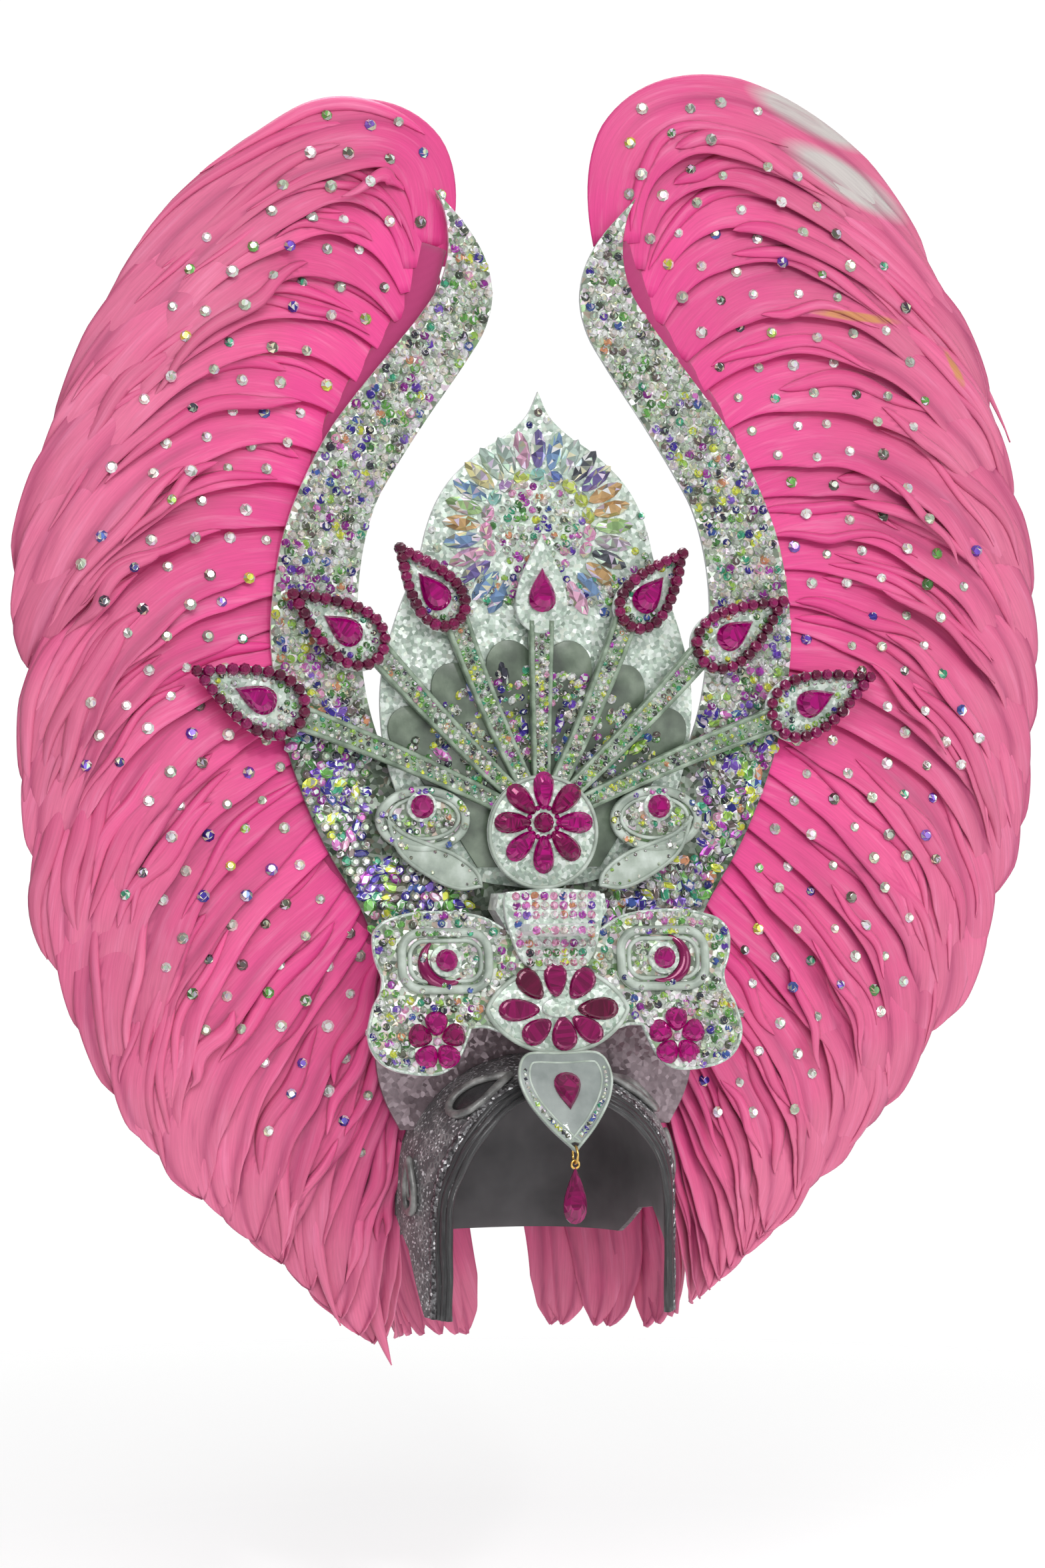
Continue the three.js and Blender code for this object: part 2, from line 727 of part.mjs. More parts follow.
for (const [side, sign] of [['left', -1], ['right', 1]]) {
  const outer = placed(ellipse(sideScroll.width, sideScroll.height, 16), sideScroll.x, sideScroll.z);
  const innerWidth = sideScroll.width - 2 * sideScroll.edge;
  const innerHeight = sideScroll.height - 2 * sideScroll.edge;
  const inner = placed(ellipse(innerWidth, innerHeight, 12), sideScroll.x, sideScroll.z);
  const bossWidth = roundStone.diameter + 4;
  const boss = placed(ellipse(bossWidth, bossWidth, 10), roundStone.x, roundStone.z);
  const onSide = (outline) => (sign < 0 ? mirrored(outline) : outline);
  const scroll = joined([
    boardOf(onSide(outer), scrollBack, sideScroll.base),
    boardOf(onSide(outer), scrollBack, sideScroll.rise, [onSide(inner)]),
    boardOf(onSide(boss), scrollBack, sideScroll.rise),
    boardOf(onSide(curveThrough(scrollLeaf, 16, true)), scrollBack, sideScroll.rise),
  ]);
  addPiece(`side_scroll_${side}`, scroll, finishes.glitterBoard);
  const round = ellipse(roundStone.diameter, roundStone.diameter, 10);
  const stoneBack = scrollBack - sideScroll.rise - gap;
  const stone = cutStone(placed(round, sign * roundStone.x, roundStone.z), stoneBack, roundStone.height);
  addPiece(`round_stone_upper_${side}`, stone, finishes.stone);
}

// Waist block: the stone-covered block between the upper and lower boards, with the foot that
// carries the brow plate.

const waist = [
  { x: 0, z: 104 },
  { x: 34, z: 102 },
  { x: 36, z: 92 },
  { x: 24, z: 72 },
  { x: 0, z: 66 },
];
const waistFoot = {
  width: 44,
  topZ: 84,
  bottomZ: 30,
  backY: frontOf.lyre - gap,
  depth: 60,
  neckTopZ: 100,
  neckDepth: 20,
};
const waistFront = -46;

function waistBlock() {
  const foot = [
    { x: -waistFoot.width / 2, z: waistFoot.bottomZ },
    { x: waistFoot.width / 2, z: waistFoot.bottomZ },
    { x: waistFoot.width / 2, z: waistFoot.topZ },
    { x: -waistFoot.width / 2, z: waistFoot.topZ },
  ];
  const blockBack = frontOf.disc - gap;
  const block = boardOf(bothHalves(waist), blockBack, blockBack - waistFront);
  const neckOutline = bothHalves(waist)
    .map((p) => ({ x: p.x * 0.9, z: Math.min(p.z, waistFoot.neckTopZ) }));
  const neck = boardOf(neckOutline, frontOf.ogive - gap, waistFoot.neckDepth);
  return solidOf(block)
    .add(solidOf(neck))
    .add(solidOf(boardOf(foot, waistFoot.backY, waistFoot.depth)));
}

// Brow plate and all that it carries lean back a little at the top.

const browGroup = new THREE.Group();
browGroup.position.set(0, brow.backY, brow.pivotZ);
browGroup.rotation.x = THREE.MathUtils.degToRad(brow.tiltDegrees);
headdress.add(browGroup);

// Right half of the four-lobed outline, from the top of the waist down. z is from the pivot.
const browEdge = [
  { x: 0, z: 0 },
  { x: 22, z: 2 },
  { x: 44, z: 14 },
  { x: 70, z: 18 },
  { x: 96, z: 16 },
  { x: 113, z: 8 },
  { x: 115, z: -8 },
  { x: 110, z: -26 },
  { x: 117, z: -42 },
  { x: 120, z: -62 },
  { x: 111, z: -76 },
  { x: 92, z: -82 },
  { x: 72, z: -81 },
  { x: 60, z: -68 },
  { x: 54, z: -54 },
  { x: 34, z: -58 },
  { x: 0, z: -66 },
];
const browOutline = bothHalves(curveThrough(browEdge, 36));
addPiece('brow_plate', boardOf(browOutline, 0, board), finishes.glitterBoard, browGroup);

browGroup.updateMatrixWorld(true);
const browRoom = boardOf(scaled(browOutline, 1.015), gap, 200);
const browBackCut = solidOf(browRoom.applyMatrix4(browGroup.matrixWorld));
const waistSolid = waistBlock().subtract(browBackCut).subtract(headForm(capWall + gap));
addPiece('waist_block', geometryOf(waistSolid), finishes.silverBoard);

// Ring mounts on the upper lobes: a raised rounded frame with a boss for a round stone.

const ringMount = { x: 70, z: -13, width: 60, height: 40, corner: 14, base: 1.5, rise: 5, edge: 5 };
const browFront = -board - gap;

for (const [side, sign] of [['left', -1], ['right', 1]]) {
  const x = sign * ringMount.x;
  const { width, height, corner, edge } = ringMount;
  const outer = placed(roundedBlock(width, height, corner, 3), x, ringMount.z);
  const innerBlock = roundedBlock(width - 2 * edge, height - 2 * edge, corner - edge, 2);
  const inner = placed(innerBlock, x, ringMount.z);
  const boss = placed(ellipse(22, 22, 12), x, ringMount.z);
  const mount = joined([
    boardOf(outer, browFront, ringMount.base),
    boardOf(outer, browFront, ringMount.rise, [inner]),
    boardOf(boss, browFront, ringMount.rise - 1),
  ]);
  addPiece(`ring_mount_${side}`, mount, finishes.glitterBoard, browGroup);
  const round = ellipse(14, 14, 10);
  const stone = cutStone(placed(round, x, ringMount.z), 0, roundStone.height);
  const stonePiece = addPiece(`round_stone_lower_${side}`, stone, finishes.stone, browGroup);
  stonePiece.position.y = browFront - ringMount.rise + 1 - gap;

  const small = addPiece(
    `small_flower_${side}`,
    flower({
      petals: 5,
      length: 14,
      width: 12.5,
      start: 4.5,
      height: 4,
      turn: halfTurn / 2,
      centre: { width: 5, height: 5, rise: 3.5 },
      backY: 0,
      cut: smallStone,
    }),
    finishes.stone,
    browGroup,
  );
  small.position.set(sign * 77, browFront, -62);
}

// Oval plate over the middle of the brow, with a flat flower.

const ovalPlate = { width: 92, height: 56, z: -44, thickness: 2.5 };

function eyeOutline(width, height) {
  const steps = 14;
  const upper = Array.from({ length: steps }, (_, i) => {
    const angle = (i / steps) * halfTurn;
    return { x: (width / 2) * Math.cos(angle), z: (height / 2) * Math.sin(angle) ** 1.4 };
  });
  const lower = upper.map((p) => ({ x: -p.x, z: -p.z }));
  return [...upper, ...lower];
}

const eye = placed(eyeOutline(ovalPlate.width, ovalPlate.height), 0, ovalPlate.z);
addPiece('oval_plate', boardOf(eye, browFront, ovalPlate.thickness), finishes.silverBoard, browGroup);
const lowerFlower = addPiece(
  'lower_flower',
  flower({
    petals: 8,
    length: 24,
    width: 13,
    start: 13,
    height: 3,
    turn: 0,
    centre: { width: 20, height: 11, rise: 2.5 },
    backY: 0,
    squash: 0.62,
  }),
  finishes.stone,
  browGroup,
);
lowerFlower.position.set(0, browFront - ovalPlate.thickness - gap, ovalPlate.z + 1);

// Forehead plate: a pointed drop that hangs from the brow and lies over the forehead.

const foreheadGroup = new THREE.Group();
foreheadGroup.position.set(0, forehead.backY, forehead.pivotZ);
foreheadGroup.rotation.x = THREE.MathUtils.degToRad(forehead.tiltDegrees);
headdress.add(foreheadGroup);

const foreheadEdge = [
  { x: 0, z: 6 },
  { x: 24, z: 5 },
  { x: 30, z: -8 },
  { x: 27, z: -24 },
  { x: 16, z: -42 },
  { x: 5, z: -54.5 },
  { x: 0, z: -59.6 },
];
const foreheadBoard = 1.8;
const ringHole = { z: -55.4, radius: 2.7 };
const hole = placed(ellipse(2 * ringHole.radius, 2 * ringHole.radius, 12), 0, ringHole.z);
addPiece(
  'forehead_plate',
  boardOf(bothHalves(curveThrough(foreheadEdge, 18)), 0, foreheadBoard, [hole]),
  finishes.oliveBoard,
  foreheadGroup,
);
const foreheadStone = placed(teardrop(22, 16, 12), 0, -20, halfTurn / 2 + halfTurn);
addPiece('forehead_stone', cutStone(foreheadStone, -foreheadBoard - gap, 5), finishes.stone, foreheadGroup);

// Jump ring through the tip of the forehead plate, and the drop that hangs from it.

const jumpRing = { radius: 5.2, wire: 0.8 };
const bail = { radius: 2.4, wire: 0.8 };
const drop = { length: 35, width: 17.5, thickness: 6 };

foreheadGroup.updateMatrixWorld(true);
const ringTop = new THREE.Vector3(0, -foreheadBoard / 2, ringHole.z);
ringTop.applyMatrix4(foreheadGroup.matrixWorld);
const ringCentreZ = ringTop.z - jumpRing.radius;

// A wire ring that faces the front.
function wireRing(radius, wire, steps) {
  const path = ellipse(2 * radius, 2 * radius, steps).map((p) => new THREE.Vector3(p.x, 0, p.z));
  return closedTube(path, wire, 5);
}

const ringShape = wireRing(jumpRing.radius, jumpRing.wire, 12).rotateZ(halfTurn / 2);
addPiece('jump_ring', ringShape, finishes.metal).position.set(0, ringTop.y, ringCentreZ);

function foreheadDrop() {
  const outline = placed(teardrop(drop.length, drop.width, 12), 0, 0, halfTurn / 2);
  const ringAt = (share, y) => scaled(outline, share).map((p) => new THREE.Vector3(p.x, y, p.z));
  const stone = loft([
    ringAt(0.5, drop.thickness / 2),
    ringAt(1, 0.8),
    ringAt(1, -0.8),
    ringAt(0.5, -drop.thickness / 2),
  ]);
  const loop = wireRing(bail.radius, bail.wire, 10).translate(0, 0, drop.length / 2 + bail.radius - 1);
  return joined([stone, loop]);
}

const bailTop = drop.length / 2 + 2 * bail.radius - 1;
const dropCentreZ = ringCentreZ - jumpRing.radius + jumpRing.wire + bail.wire + gap - bailTop;
addPiece('forehead_drop', foreheadDrop(), finishes.stone).position.set(0, ringTop.y, dropCentreZ);

// Wings: long feathers that arch out from a backing strip and droop, each a little over the next.
// "Out" is the distance from the middle of the headdress. The rows run from the top of the wing,
// down its side and round to the nape, and the feathers between two rows are blended from them.

const wingColumns = ['rootOut', 'rootZ', 'startDegrees', 'tipOut', 'tipZ', 'endDegrees', 'arch', 'width'];
const wingRows = {
  left: [
    [66, 506, 94, 238, 508, -62, 0.6, 52],
    [78, 462, 55, 268, 452, -62, 0.5, 54],
    [124, 396, 38, 300, 352, -72, 0.42, 56],
    [150, 325, 14, 322, 285, -84, 0.4, 58],
    [160, 263, -3, 312, 190, -90, 0.4, 58],
    [149, 197, -18, 300, 82, -98, 0.4, 58],
    [130, 135, -34, 252, -4, -112, 0.4, 56],
    [104, 84, -54, 200, -72, -120, 0.38, 52],
    [92, 40, -72, 142, -122, -116, 0.36, 44],
    [97, -8, -80, 95, -182, -110, 0.34, 36],
    [84, -40, -88, 60, -188, -105, 0.34, 40],
    [46, -48, -90, 10, -194, -108, 0.34, 46],
  ],
  right: [
    [55, 512, 98, 250, 552, -40, 0.62, 54],
    [74, 464, 60, 284, 472, -56, 0.5, 56],
    [124, 396, 40, 314, 395, -66, 0.42, 58],
    [150, 325, 18, 332, 300, -80, 0.4, 60],
    [160, 263, 2, 338, 200, -90, 0.4, 60],
    [149, 197, -14, 318, 100, -98, 0.4, 60],
    [130, 135, -32, 276, 14, -112, 0.4, 58],
    [104, 84, -52, 212, -64, -120, 0.38, 54],
    [92, 40, -72, 158, -122, -118, 0.36, 46],
    [97, -8, -80, 122, -160, -108, 0.34, 36],
    [84, -40, -88, 108, -190, -102, 0.34, 40],
    [46, -48, -90, 44, -190, -98, 0.34, 46],
  ],
};
// The same rows in depth: the root, how far the middle puffs forward, the tip, and how far the
// flat of the feather has turned round the head.
const depthColumns = ['rootY', 'puff', 'tipY', 'rollDegrees'];
const depthRows = [
  [-4, 40, 6, 14],
  [-4, 40, 6, 14],
  [-4, 38, 6, 14],
  [-4, 32, 4, 14],
  [-4, 20, 4, 14],
  [-4, 20, 4, 14],
  [-4, 26, 4, 14],
  [-3, 22, 6, 16],
  [0, 6, 10, 30],
  [22, 0, 22, 60],
  [86, 0, 88, 122],
  [116, 0, 118, 170],
];
const wingParts = [
  { name: 'upper', fromRow: 0, toRow: 3.3, feathers: 8 },
  { name: 'middle', fromRow: 3.85, toRow: 6.95, feathers: 7 },
  { name: 'lower', fromRow: 7.5, toRow: 11, feathers: 8 },
];
const bladeStations = [
  { along: 0, share: 0.22 },
  { along: 0.22, share: 0.8 },
  { along: 0.55, share: 1 },
  { along: 0.88, share: 0.85 },
  { along: 1, share: 0.2 },
];
const blade = { ridge: 2, hollow: 1.2 };
const strap = { width: 28, thickness: 9.4, overhang: 0.12 };

function tableAt(columns, rows, place) {
  const row = Math.min(Math.floor(place), rows.length - 2);
  const values = columns.map((_, i) => THREE.MathUtils.lerp(rows[row][i], rows[row + 1][i], place - row));
  return Object.fromEntries(columns.map((column, i) => [column, values[i]]));
}

function featherAt(side, place) {
  return {
    ...tableAt(wingColumns, wingRows[side], place),
    ...tableAt(depthColumns, depthRows, place),
  };
}

// The feather's middle line, in (out, depth, height).
function quill(feather) {
  const root = new THREE.Vector3(feather.rootOut, feather.rootY, feather.rootZ);
  const tip = new THREE.Vector3(feather.tipOut, feather.tipY, feather.tipZ);
  const reach = root.distanceTo(tip) * feather.arch;
  const heading = (degrees) => {
    const angle = THREE.MathUtils.degToRad(degrees);
    return new THREE.Vector3(Math.cos(angle), 0, Math.sin(angle));
  };
  const leaving = root.clone().addScaledVector(heading(feather.startDegrees), reach);
  const arriving = tip.clone().addScaledVector(heading(feather.endDegrees), -reach);
  arriving.y -= feather.puff;
  return new THREE.CubicBezierCurve3(root, leaving, arriving, tip);
}

function featherBlade(feather) {
  const line = quill(feather);
  const roll = THREE.MathUtils.degToRad(feather.rollDegrees);
  const back = new THREE.Vector3(0, 1, 0);
  const rings = bladeStations.map((station) => {
    const centre = line.getPoint(station.along);
    const along = line.getTangent(station.along);
    const upper = new THREE.Vector3(-along.z, 0, along.x).normalize();
    const edge = upper.clone().multiplyScalar(Math.cos(roll)).addScaledVector(back, Math.sin(roll));
    const face = upper.clone().multiplyScalar(Math.sin(roll)).addScaledVector(back, -Math.cos(roll));
    const reach = (feather.width / 2) * station.share;
    return [
      centre.clone().addScaledVector(edge, reach),
      centre.clone().addScaledVector(face, blade.ridge * station.share),
      centre.clone().addScaledVector(edge, -reach),
      centre.clone().addScaledVector(face, -blade.hollow * station.share),
    ];
  });
  return loft(rings);
}

function rootOf(side, place) {
  const feather = featherAt(side, place);
  return new THREE.Vector3(feather.rootOut, feather.rootY, feather.rootZ);
}

// The strap that holds a run of feather roots.
function rootStrap(side, part) {
  const lastRow = depthRows.length - 1;
  const from = Math.max(part.fromRow - strap.overhang, 0);
  const to = Math.min(part.toRow + strap.overhang, lastRow);
  const rowsBetween = depthRows.map((_, row) => row).filter((row) => row > from && row < to);
  const rings = [from, ...rowsBetween, to].map((place) => {
    const ahead = rootOf(side, Math.min(place + 0.3, lastRow));
    const run = ahead.sub(rootOf(side, Math.max(place - 0.3, 0))).normalize();
    const turned = THREE.MathUtils.degToRad(featherAt(side, place).rollDegrees - depthRows[0][3]);
    const outward = new THREE.Vector3(Math.sin(turned), -Math.cos(turned), 0);
    const across = new THREE.Vector3().crossVectors(run, outward).normalize();
    const face = new THREE.Vector3().crossVectors(across, run);
    const corner = (reach, lift) => rootOf(side, place)
      .addScaledVector(across, reach)
      .addScaledVector(face, lift);
    return [
      corner(-strap.width / 2, strap.thickness / 2),
      corner(strap.width / 2, strap.thickness / 2),
      corner(strap.width / 2, -strap.thickness / 2),
      corner(-strap.width / 2, -strap.thickness / 2),
    ];
  });
  return loft(rings);
}

for (const [side, sign] of [['left', -1], ['right', 1]]) {
  for (const part of wingParts) {
    const feathers = Array.from({ length: part.feathers }, (_, i) => {
      const place = THREE.MathUtils.lerp(part.fromRow, part.toRow, i / (part.feathers - 1));
      return featherBlade(featherAt(side, place));
    });
    const pieces = [rootStrap(side, part), ...feathers].map((piece) => piece.scale(sign, 1, 1));
    addPiece(`wing_${side}_${part.name}`, joined(pieces), finishes.feather);
  }
}

export default headdress;
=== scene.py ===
import math
import random

import bpy
import numpy as np
from mathutils import Matrix, Vector
from mathutils.bvhtree import BVHTree


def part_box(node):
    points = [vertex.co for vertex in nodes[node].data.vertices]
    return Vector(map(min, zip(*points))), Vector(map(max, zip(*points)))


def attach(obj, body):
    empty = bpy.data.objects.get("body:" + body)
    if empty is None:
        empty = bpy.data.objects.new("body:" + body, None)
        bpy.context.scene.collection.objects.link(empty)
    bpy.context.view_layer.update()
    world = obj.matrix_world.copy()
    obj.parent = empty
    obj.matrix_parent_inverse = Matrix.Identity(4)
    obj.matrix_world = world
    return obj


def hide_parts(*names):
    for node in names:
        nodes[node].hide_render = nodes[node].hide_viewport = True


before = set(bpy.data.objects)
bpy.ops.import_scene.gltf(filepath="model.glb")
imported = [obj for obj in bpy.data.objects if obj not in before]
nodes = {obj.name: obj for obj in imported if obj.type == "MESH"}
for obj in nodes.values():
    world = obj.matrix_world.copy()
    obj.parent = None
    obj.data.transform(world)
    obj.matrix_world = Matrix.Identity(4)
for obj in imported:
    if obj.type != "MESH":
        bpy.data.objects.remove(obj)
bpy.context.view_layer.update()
bpy.ops.object.select_all(action="DESELECT")

mm = 0.001  # the tables below are in millimetres
straight = Matrix.Identity(4)
print("frame loaded:", len(nodes), "nodes")


# Camera, light and floor

studio = {
    "cameraPlace": (-0.6121, -2.1148, 0.170), "cameraTurn": 16, "lens": 80.1,
    "floorHeight": -0.42, "floorFade": (0.7, 1.8),
    "key": ((-0.7, -2.4, 1.8), 1.5, 35), "fill": ((2.2, -2.0, 0.5), 1.8, 23),
    "top": ((0.2, 0.9, 2.0), 1.2, 26), "below": ((0.0, -1.9, -0.3), 0.9, 6),
    "spark": ((0.5, -2.2, 1.3), 0.16, 9),
}


def paint(red, green, blue):
    channels = [c / 255 for c in (red, green, blue)]
    return [c / 12.92 if c <= 0.04045 else ((c + 0.055) / 1.055) ** 2.4 for c in channels] + [1]


def setStudio():
    camera = bpy.data.objects.new("camera", bpy.data.cameras.new("camera"))
    bpy.context.scene.collection.objects.link(camera)
    camera.data.lens = studio["lens"]
    camera.data.clip_end = 30
    camera.location = studio["cameraPlace"]
    camera.rotation_euler = (math.radians(90), 0, -math.radians(studio["cameraTurn"]))
    bpy.context.scene.camera = camera
    aim = Vector((0, 0, 0.2))
    for name in ("key", "fill", "top", "below", "spark"):
        place, size, power = studio[name]
        light = bpy.data.objects.new(name, bpy.data.lights.new(name, "AREA"))
        bpy.context.scene.collection.objects.link(light)
        light.data.size = size
        light.data.energy = power
        light.location = place
        light.rotation_euler = (aim - Vector(place)).to_track_quat("-Z", "Y").to_euler()
    bpy.ops.mesh.primitive_plane_add(size=2 * studio["floorFade"][1], location=(0, 0, studio["floorHeight"]))
    floor = bpy.context.active_object
    floor.name = "studioFloor"
    tree, shader = startMaterial("studioPaper", roughness=0.9)
    shader.inputs["Base Color"].default_value = paint(250, 250, 250)
    away = addNode(tree, "ShaderNodeVectorMath", {0: here(tree)}, operation="LENGTH").outputs["Value"]
    near, far = studio["floorFade"]
    solid = between(tree, away, far, near)
    tree.links.new(solid, shader.inputs["Alpha"])
    painted(floor, "studioPaper")
    floor.select_set(False)
    world = bpy.data.worlds.new("studioAir")
    bpy.context.scene.world = world
    world.use_nodes = True
    air = world.node_tree
    sky = air.nodes["Background"]
    ways = addNode(air, "ShaderNodeTexCoord")
    split = addNode(air, "ShaderNodeSeparateXYZ", {"Vector": ways.outputs["Generated"]})
    skyStops = [(0, (0.42, 0.43, 0.44, 1)), (0.5, (0.8, 0.8, 0.8, 1)), (1, (1, 1, 1, 1))]
    shade = ramp(air, split.outputs["Z"], skyStops)
    seen = addNode(air, "ShaderNodeLightPath").outputs["Is Camera Ray"]
    air.links.new(blendColour(air, seen, shade, (1.7, 1.7, 1.7, 1)), sky.inputs["Color"])
    sky.inputs["Strength"].default_value = 0.62
    bpy.context.scene.view_settings.view_transform = "Standard"


# Materials

def startMaterial(name, roughness, **sockets):
    material = bpy.data.materials.new(name)
    material.use_nodes = True
    shader = material.node_tree.nodes["Principled BSDF"]
    shader.inputs["Roughness"].default_value = roughness
    for socket, value in sockets.items():
        shader.inputs[socket.replace("_", " ")].default_value = value
    return material.node_tree, shader


# Gives a part its material before it is joined to others
def painted(part, material):
    part.data.materials.append(bpy.data.materials[material])
    return part


def addNode(tree, kind, inputs=None, **settings):
    node = tree.nodes.new(kind)
    for key, value in settings.items():
        setattr(node, key, value)
    for key, value in (inputs or {}).items():
        if isinstance(value, bpy.types.NodeSocket):
            tree.links.new(value, node.inputs[key])
        else:
            node.inputs[key].default_value = value
    return node


def ramp(tree, factor, stops, interpolation="LINEAR"):
    node = addNode(tree, "ShaderNodeValToRGB", {"Fac": factor})
    band = node.color_ramp
    band.interpolation = interpolation
    band.elements[0].position = stops[0][0]
    band.elements[0].color = stops[0][1]
    band.elements[1].position = stops[1][0]
    band.elements[1].color = stops[1][1]
    for position, colour in stops[2:]:
        band.elements.new(position).color = colour
    return node.outputs["Color"]


def blendColour(tree, factor, first, second, mode="MIX"):
    node = addNode(tree, "ShaderNodeMix", data_type="RGBA", blend_type=mode)
    for socket, value in ((node.inputs[0], factor), (node.inputs[6], first), (node.inputs[7], second)):
        if isinstance(value, bpy.types.NodeSocket):
            tree.links.new(value, socket)
        else:
            socket.default_value = value
    return node.outputs[2]


def mathOf(tree, first, second, operation="MULTIPLY"):
    return addNode(tree, "ShaderNodeMath", {0: first, 1: second}, operation=operation).outputs[0]


def here(tree):
    return addNode(tree, "ShaderNodeTexCoord").outputs["Object"]


def noise(tree, place, scale, detail=3, roughness=0.5):
    inputs = {"Vector": place, "Scale": scale, "Detail": detail, "Roughness": roughness}
    return addNode(tree, "ShaderNodeTexNoise", inputs).outputs["Fac"]


# Noise and cells of a size in mm, at the piece's own place
def grainOf(tree, size, detail):
    return noise(tree, here(tree), 1 / (size * mm), detail)


def cellsOf(tree, size, **settings):
    return addNode(tree, "ShaderNodeTexVoronoi", {"Vector": here(tree), "Scale": 1 / (size * mm)}, **settings)


# Goes from 0 to 1 while the value goes from low to high
def between(tree, value, low, high):
    return addNode(tree, "ShaderNodeMapRange", {"Value": value, "From Min": low, "From Max": high}).outputs[0]


def mask(tree, value, low, high):
    return ramp(tree, value, [(low, (0, 0, 0, 1)), (high, (1, 1, 1, 1))])


def bump(tree, shader, height, distance, strength):
    node = addNode(tree, "ShaderNodeBump", {"Height": height, "Distance": distance, "Strength": strength})
    tree.links.new(node.outputs["Normal"], shader.inputs["Normal"])


# Cut flakes that each lie a little askew, so that they catch the light one by one
def flakes(tree, size, tilt):
    cells = cellsOf(tree, size)
    skew = addNode(tree, "ShaderNodeVectorMath", {0: cells.outputs["Color"], 1: (-0.5, -0.5, -0.5)})
    skew = addNode(tree, "ShaderNodeVectorMath", {0: skew.outputs[0], "Scale": tilt}, operation="SCALE")
    normal = addNode(tree, "ShaderNodeNewGeometry").outputs["Normal"]
    turned = addNode(tree, "ShaderNodeVectorMath", {0: normal, 1: skew.outputs[0]})
    turned = addNode(tree, "ShaderNodeVectorMath", {0: turned.outputs[0]}, operation="NORMALIZE")
    pick = addNode(tree, "ShaderNodeSeparateColor", {"Color": cells.outputs["Color"]})
    return pick.outputs["Red"], turned.outputs[0]


# How much a face looks to the front: 1 on a board's face, 0 on its cut edge
def facing(tree):
    normal = addNode(tree, "ShaderNodeNewGeometry").outputs["Normal"]
    away = addNode(tree, "ShaderNodeSeparateXYZ", {"Vector": normal}).outputs["Y"]
    away = mathOf(tree, away, -1)
    return between(tree, away, 0.45, 0.75)


boardPaints = {
    "mixed": [(100, 112, 100), (186, 192, 184), (128, 140, 124), (222, 226, 220), (150, 174, 138), (118, 128, 112),
              (206, 188, 200), (168, 178, 166), (104, 132, 92), (212, 216, 208), (176, 160, 146), (140, 152, 136)],
    "silver": [(176, 190, 180), (206, 216, 208), (158, 174, 162), (222, 230, 224), (186, 202, 188), (168, 180, 170),
               (200, 212, 202), (150, 168, 154), (214, 222, 216), (180, 196, 184), (196, 204, 192), (164, 178, 168)],
    "edge": (226, 230, 228),
}


def glitterPaint(name, paints, flake, tilt=0.5, metallic=0.35, roughness=0.28):
    tree, shader = startMaterial(name, roughness=roughness, Metallic=metallic)
    pick, normal = flakes(tree, flake, tilt)
    step = 1 / len(paints)
    stops = [(i * step, paint(*colour)) for i, colour in enumerate(paints)]
    colour = ramp(tree, pick, stops, "CONSTANT")
    fine = grainOf(tree, 6, 2)
    cloud = ramp(tree, fine, [(0.35, (0.35, 0.38, 0.35, 1)), (0.65, (1, 1, 1, 1))])
    colour = blendColour(tree, 0.35, colour, cloud, "MULTIPLY")
    colour = blendColour(tree, facing(tree), paint(*boardPaints["edge"]), colour)
    tree.links.new(normal, shader.inputs["Normal"])
    return tree, shader, colour


# Smooth boards and trims: a cloudy colour and a fine grain
trims = {
    # grey-green trim
    "smoothTrim": {"roughness": 0.38, "coat": 0.25,
                   "coatRoughness": 0.3, "cloud": (14, 5), "grain": (1.2, 3, 0.2, 0.5),
                   "shades": [(0.3, (128, 140, 130)), (0.5, (160, 172, 160)), (0.72, (198, 208, 200))]},
    # glossy grey-green of the stems
    "stemTrim": {"roughness": 0.36, "coat": 0.3,
                 "coatRoughness": 0.25, "cloud": (9, 4), "grain": (1.4, 3, 0.3, 0.6),
                 "shades": [(0.3, (82, 100, 82)), (0.5, (122, 140, 120)), (0.7, (158, 174, 156))]},
    # dark leaves between the stems
    "oliveBoard": {"roughness": 0.42, "coat": 0.3,
                   "coatRoughness": 0.25, "cloud": (22, 4), "grain": (1.5, 3, 0.2, 0.5),
                   "shades": [(0.3, (44, 54, 44)), (0.5, (78, 92, 76)), (0.7, (118, 132, 114))]},
    "foreheadTrim": {"roughness": 0.4, "coat": 0.2, "cloud": (16, 4), "grain": (1.1, 3, 0.2, 0.5),
                     "shades": [(0.3, (112, 120, 118)), (0.7, (146, 154, 150))]},
    "scrollTrim": {"roughness": 0.34, "coat": 0.3, "metallic": 0.2,
                   "cloud": (9, 5), "grain": (1.3, 4, 0.4, 0.7),
                   "shades": [(0.3, (84, 84, 84)), (0.5, (122, 122, 120)), (0.75, (168, 168, 166))]},
}


# Cloud and grain are a size in mm and a detail, and the grain also a depth in mm and a strength
def cloudyTrim(name, roughness, coat, cloud, grain, shades, coatRoughness=0.03, metallic=0):
    tree, shader = startMaterial(name, roughness=roughness, Metallic=metallic,
                                 Coat_Weight=coat, Coat_Roughness=coatRoughness)
    cloudSize, cloudDetail = cloud
    grainSize, grainDetail, depth, strength = grain
    shade = grainOf(tree, cloudSize, cloudDetail)
    shade = ramp(tree, shade, [(at, paint(*colour)) for at, colour in shades])
    tree.links.new(shade, shader.inputs["Base Color"])
    bump(tree, shader, grainOf(tree, grainSize, grainDetail), depth * mm, strength)


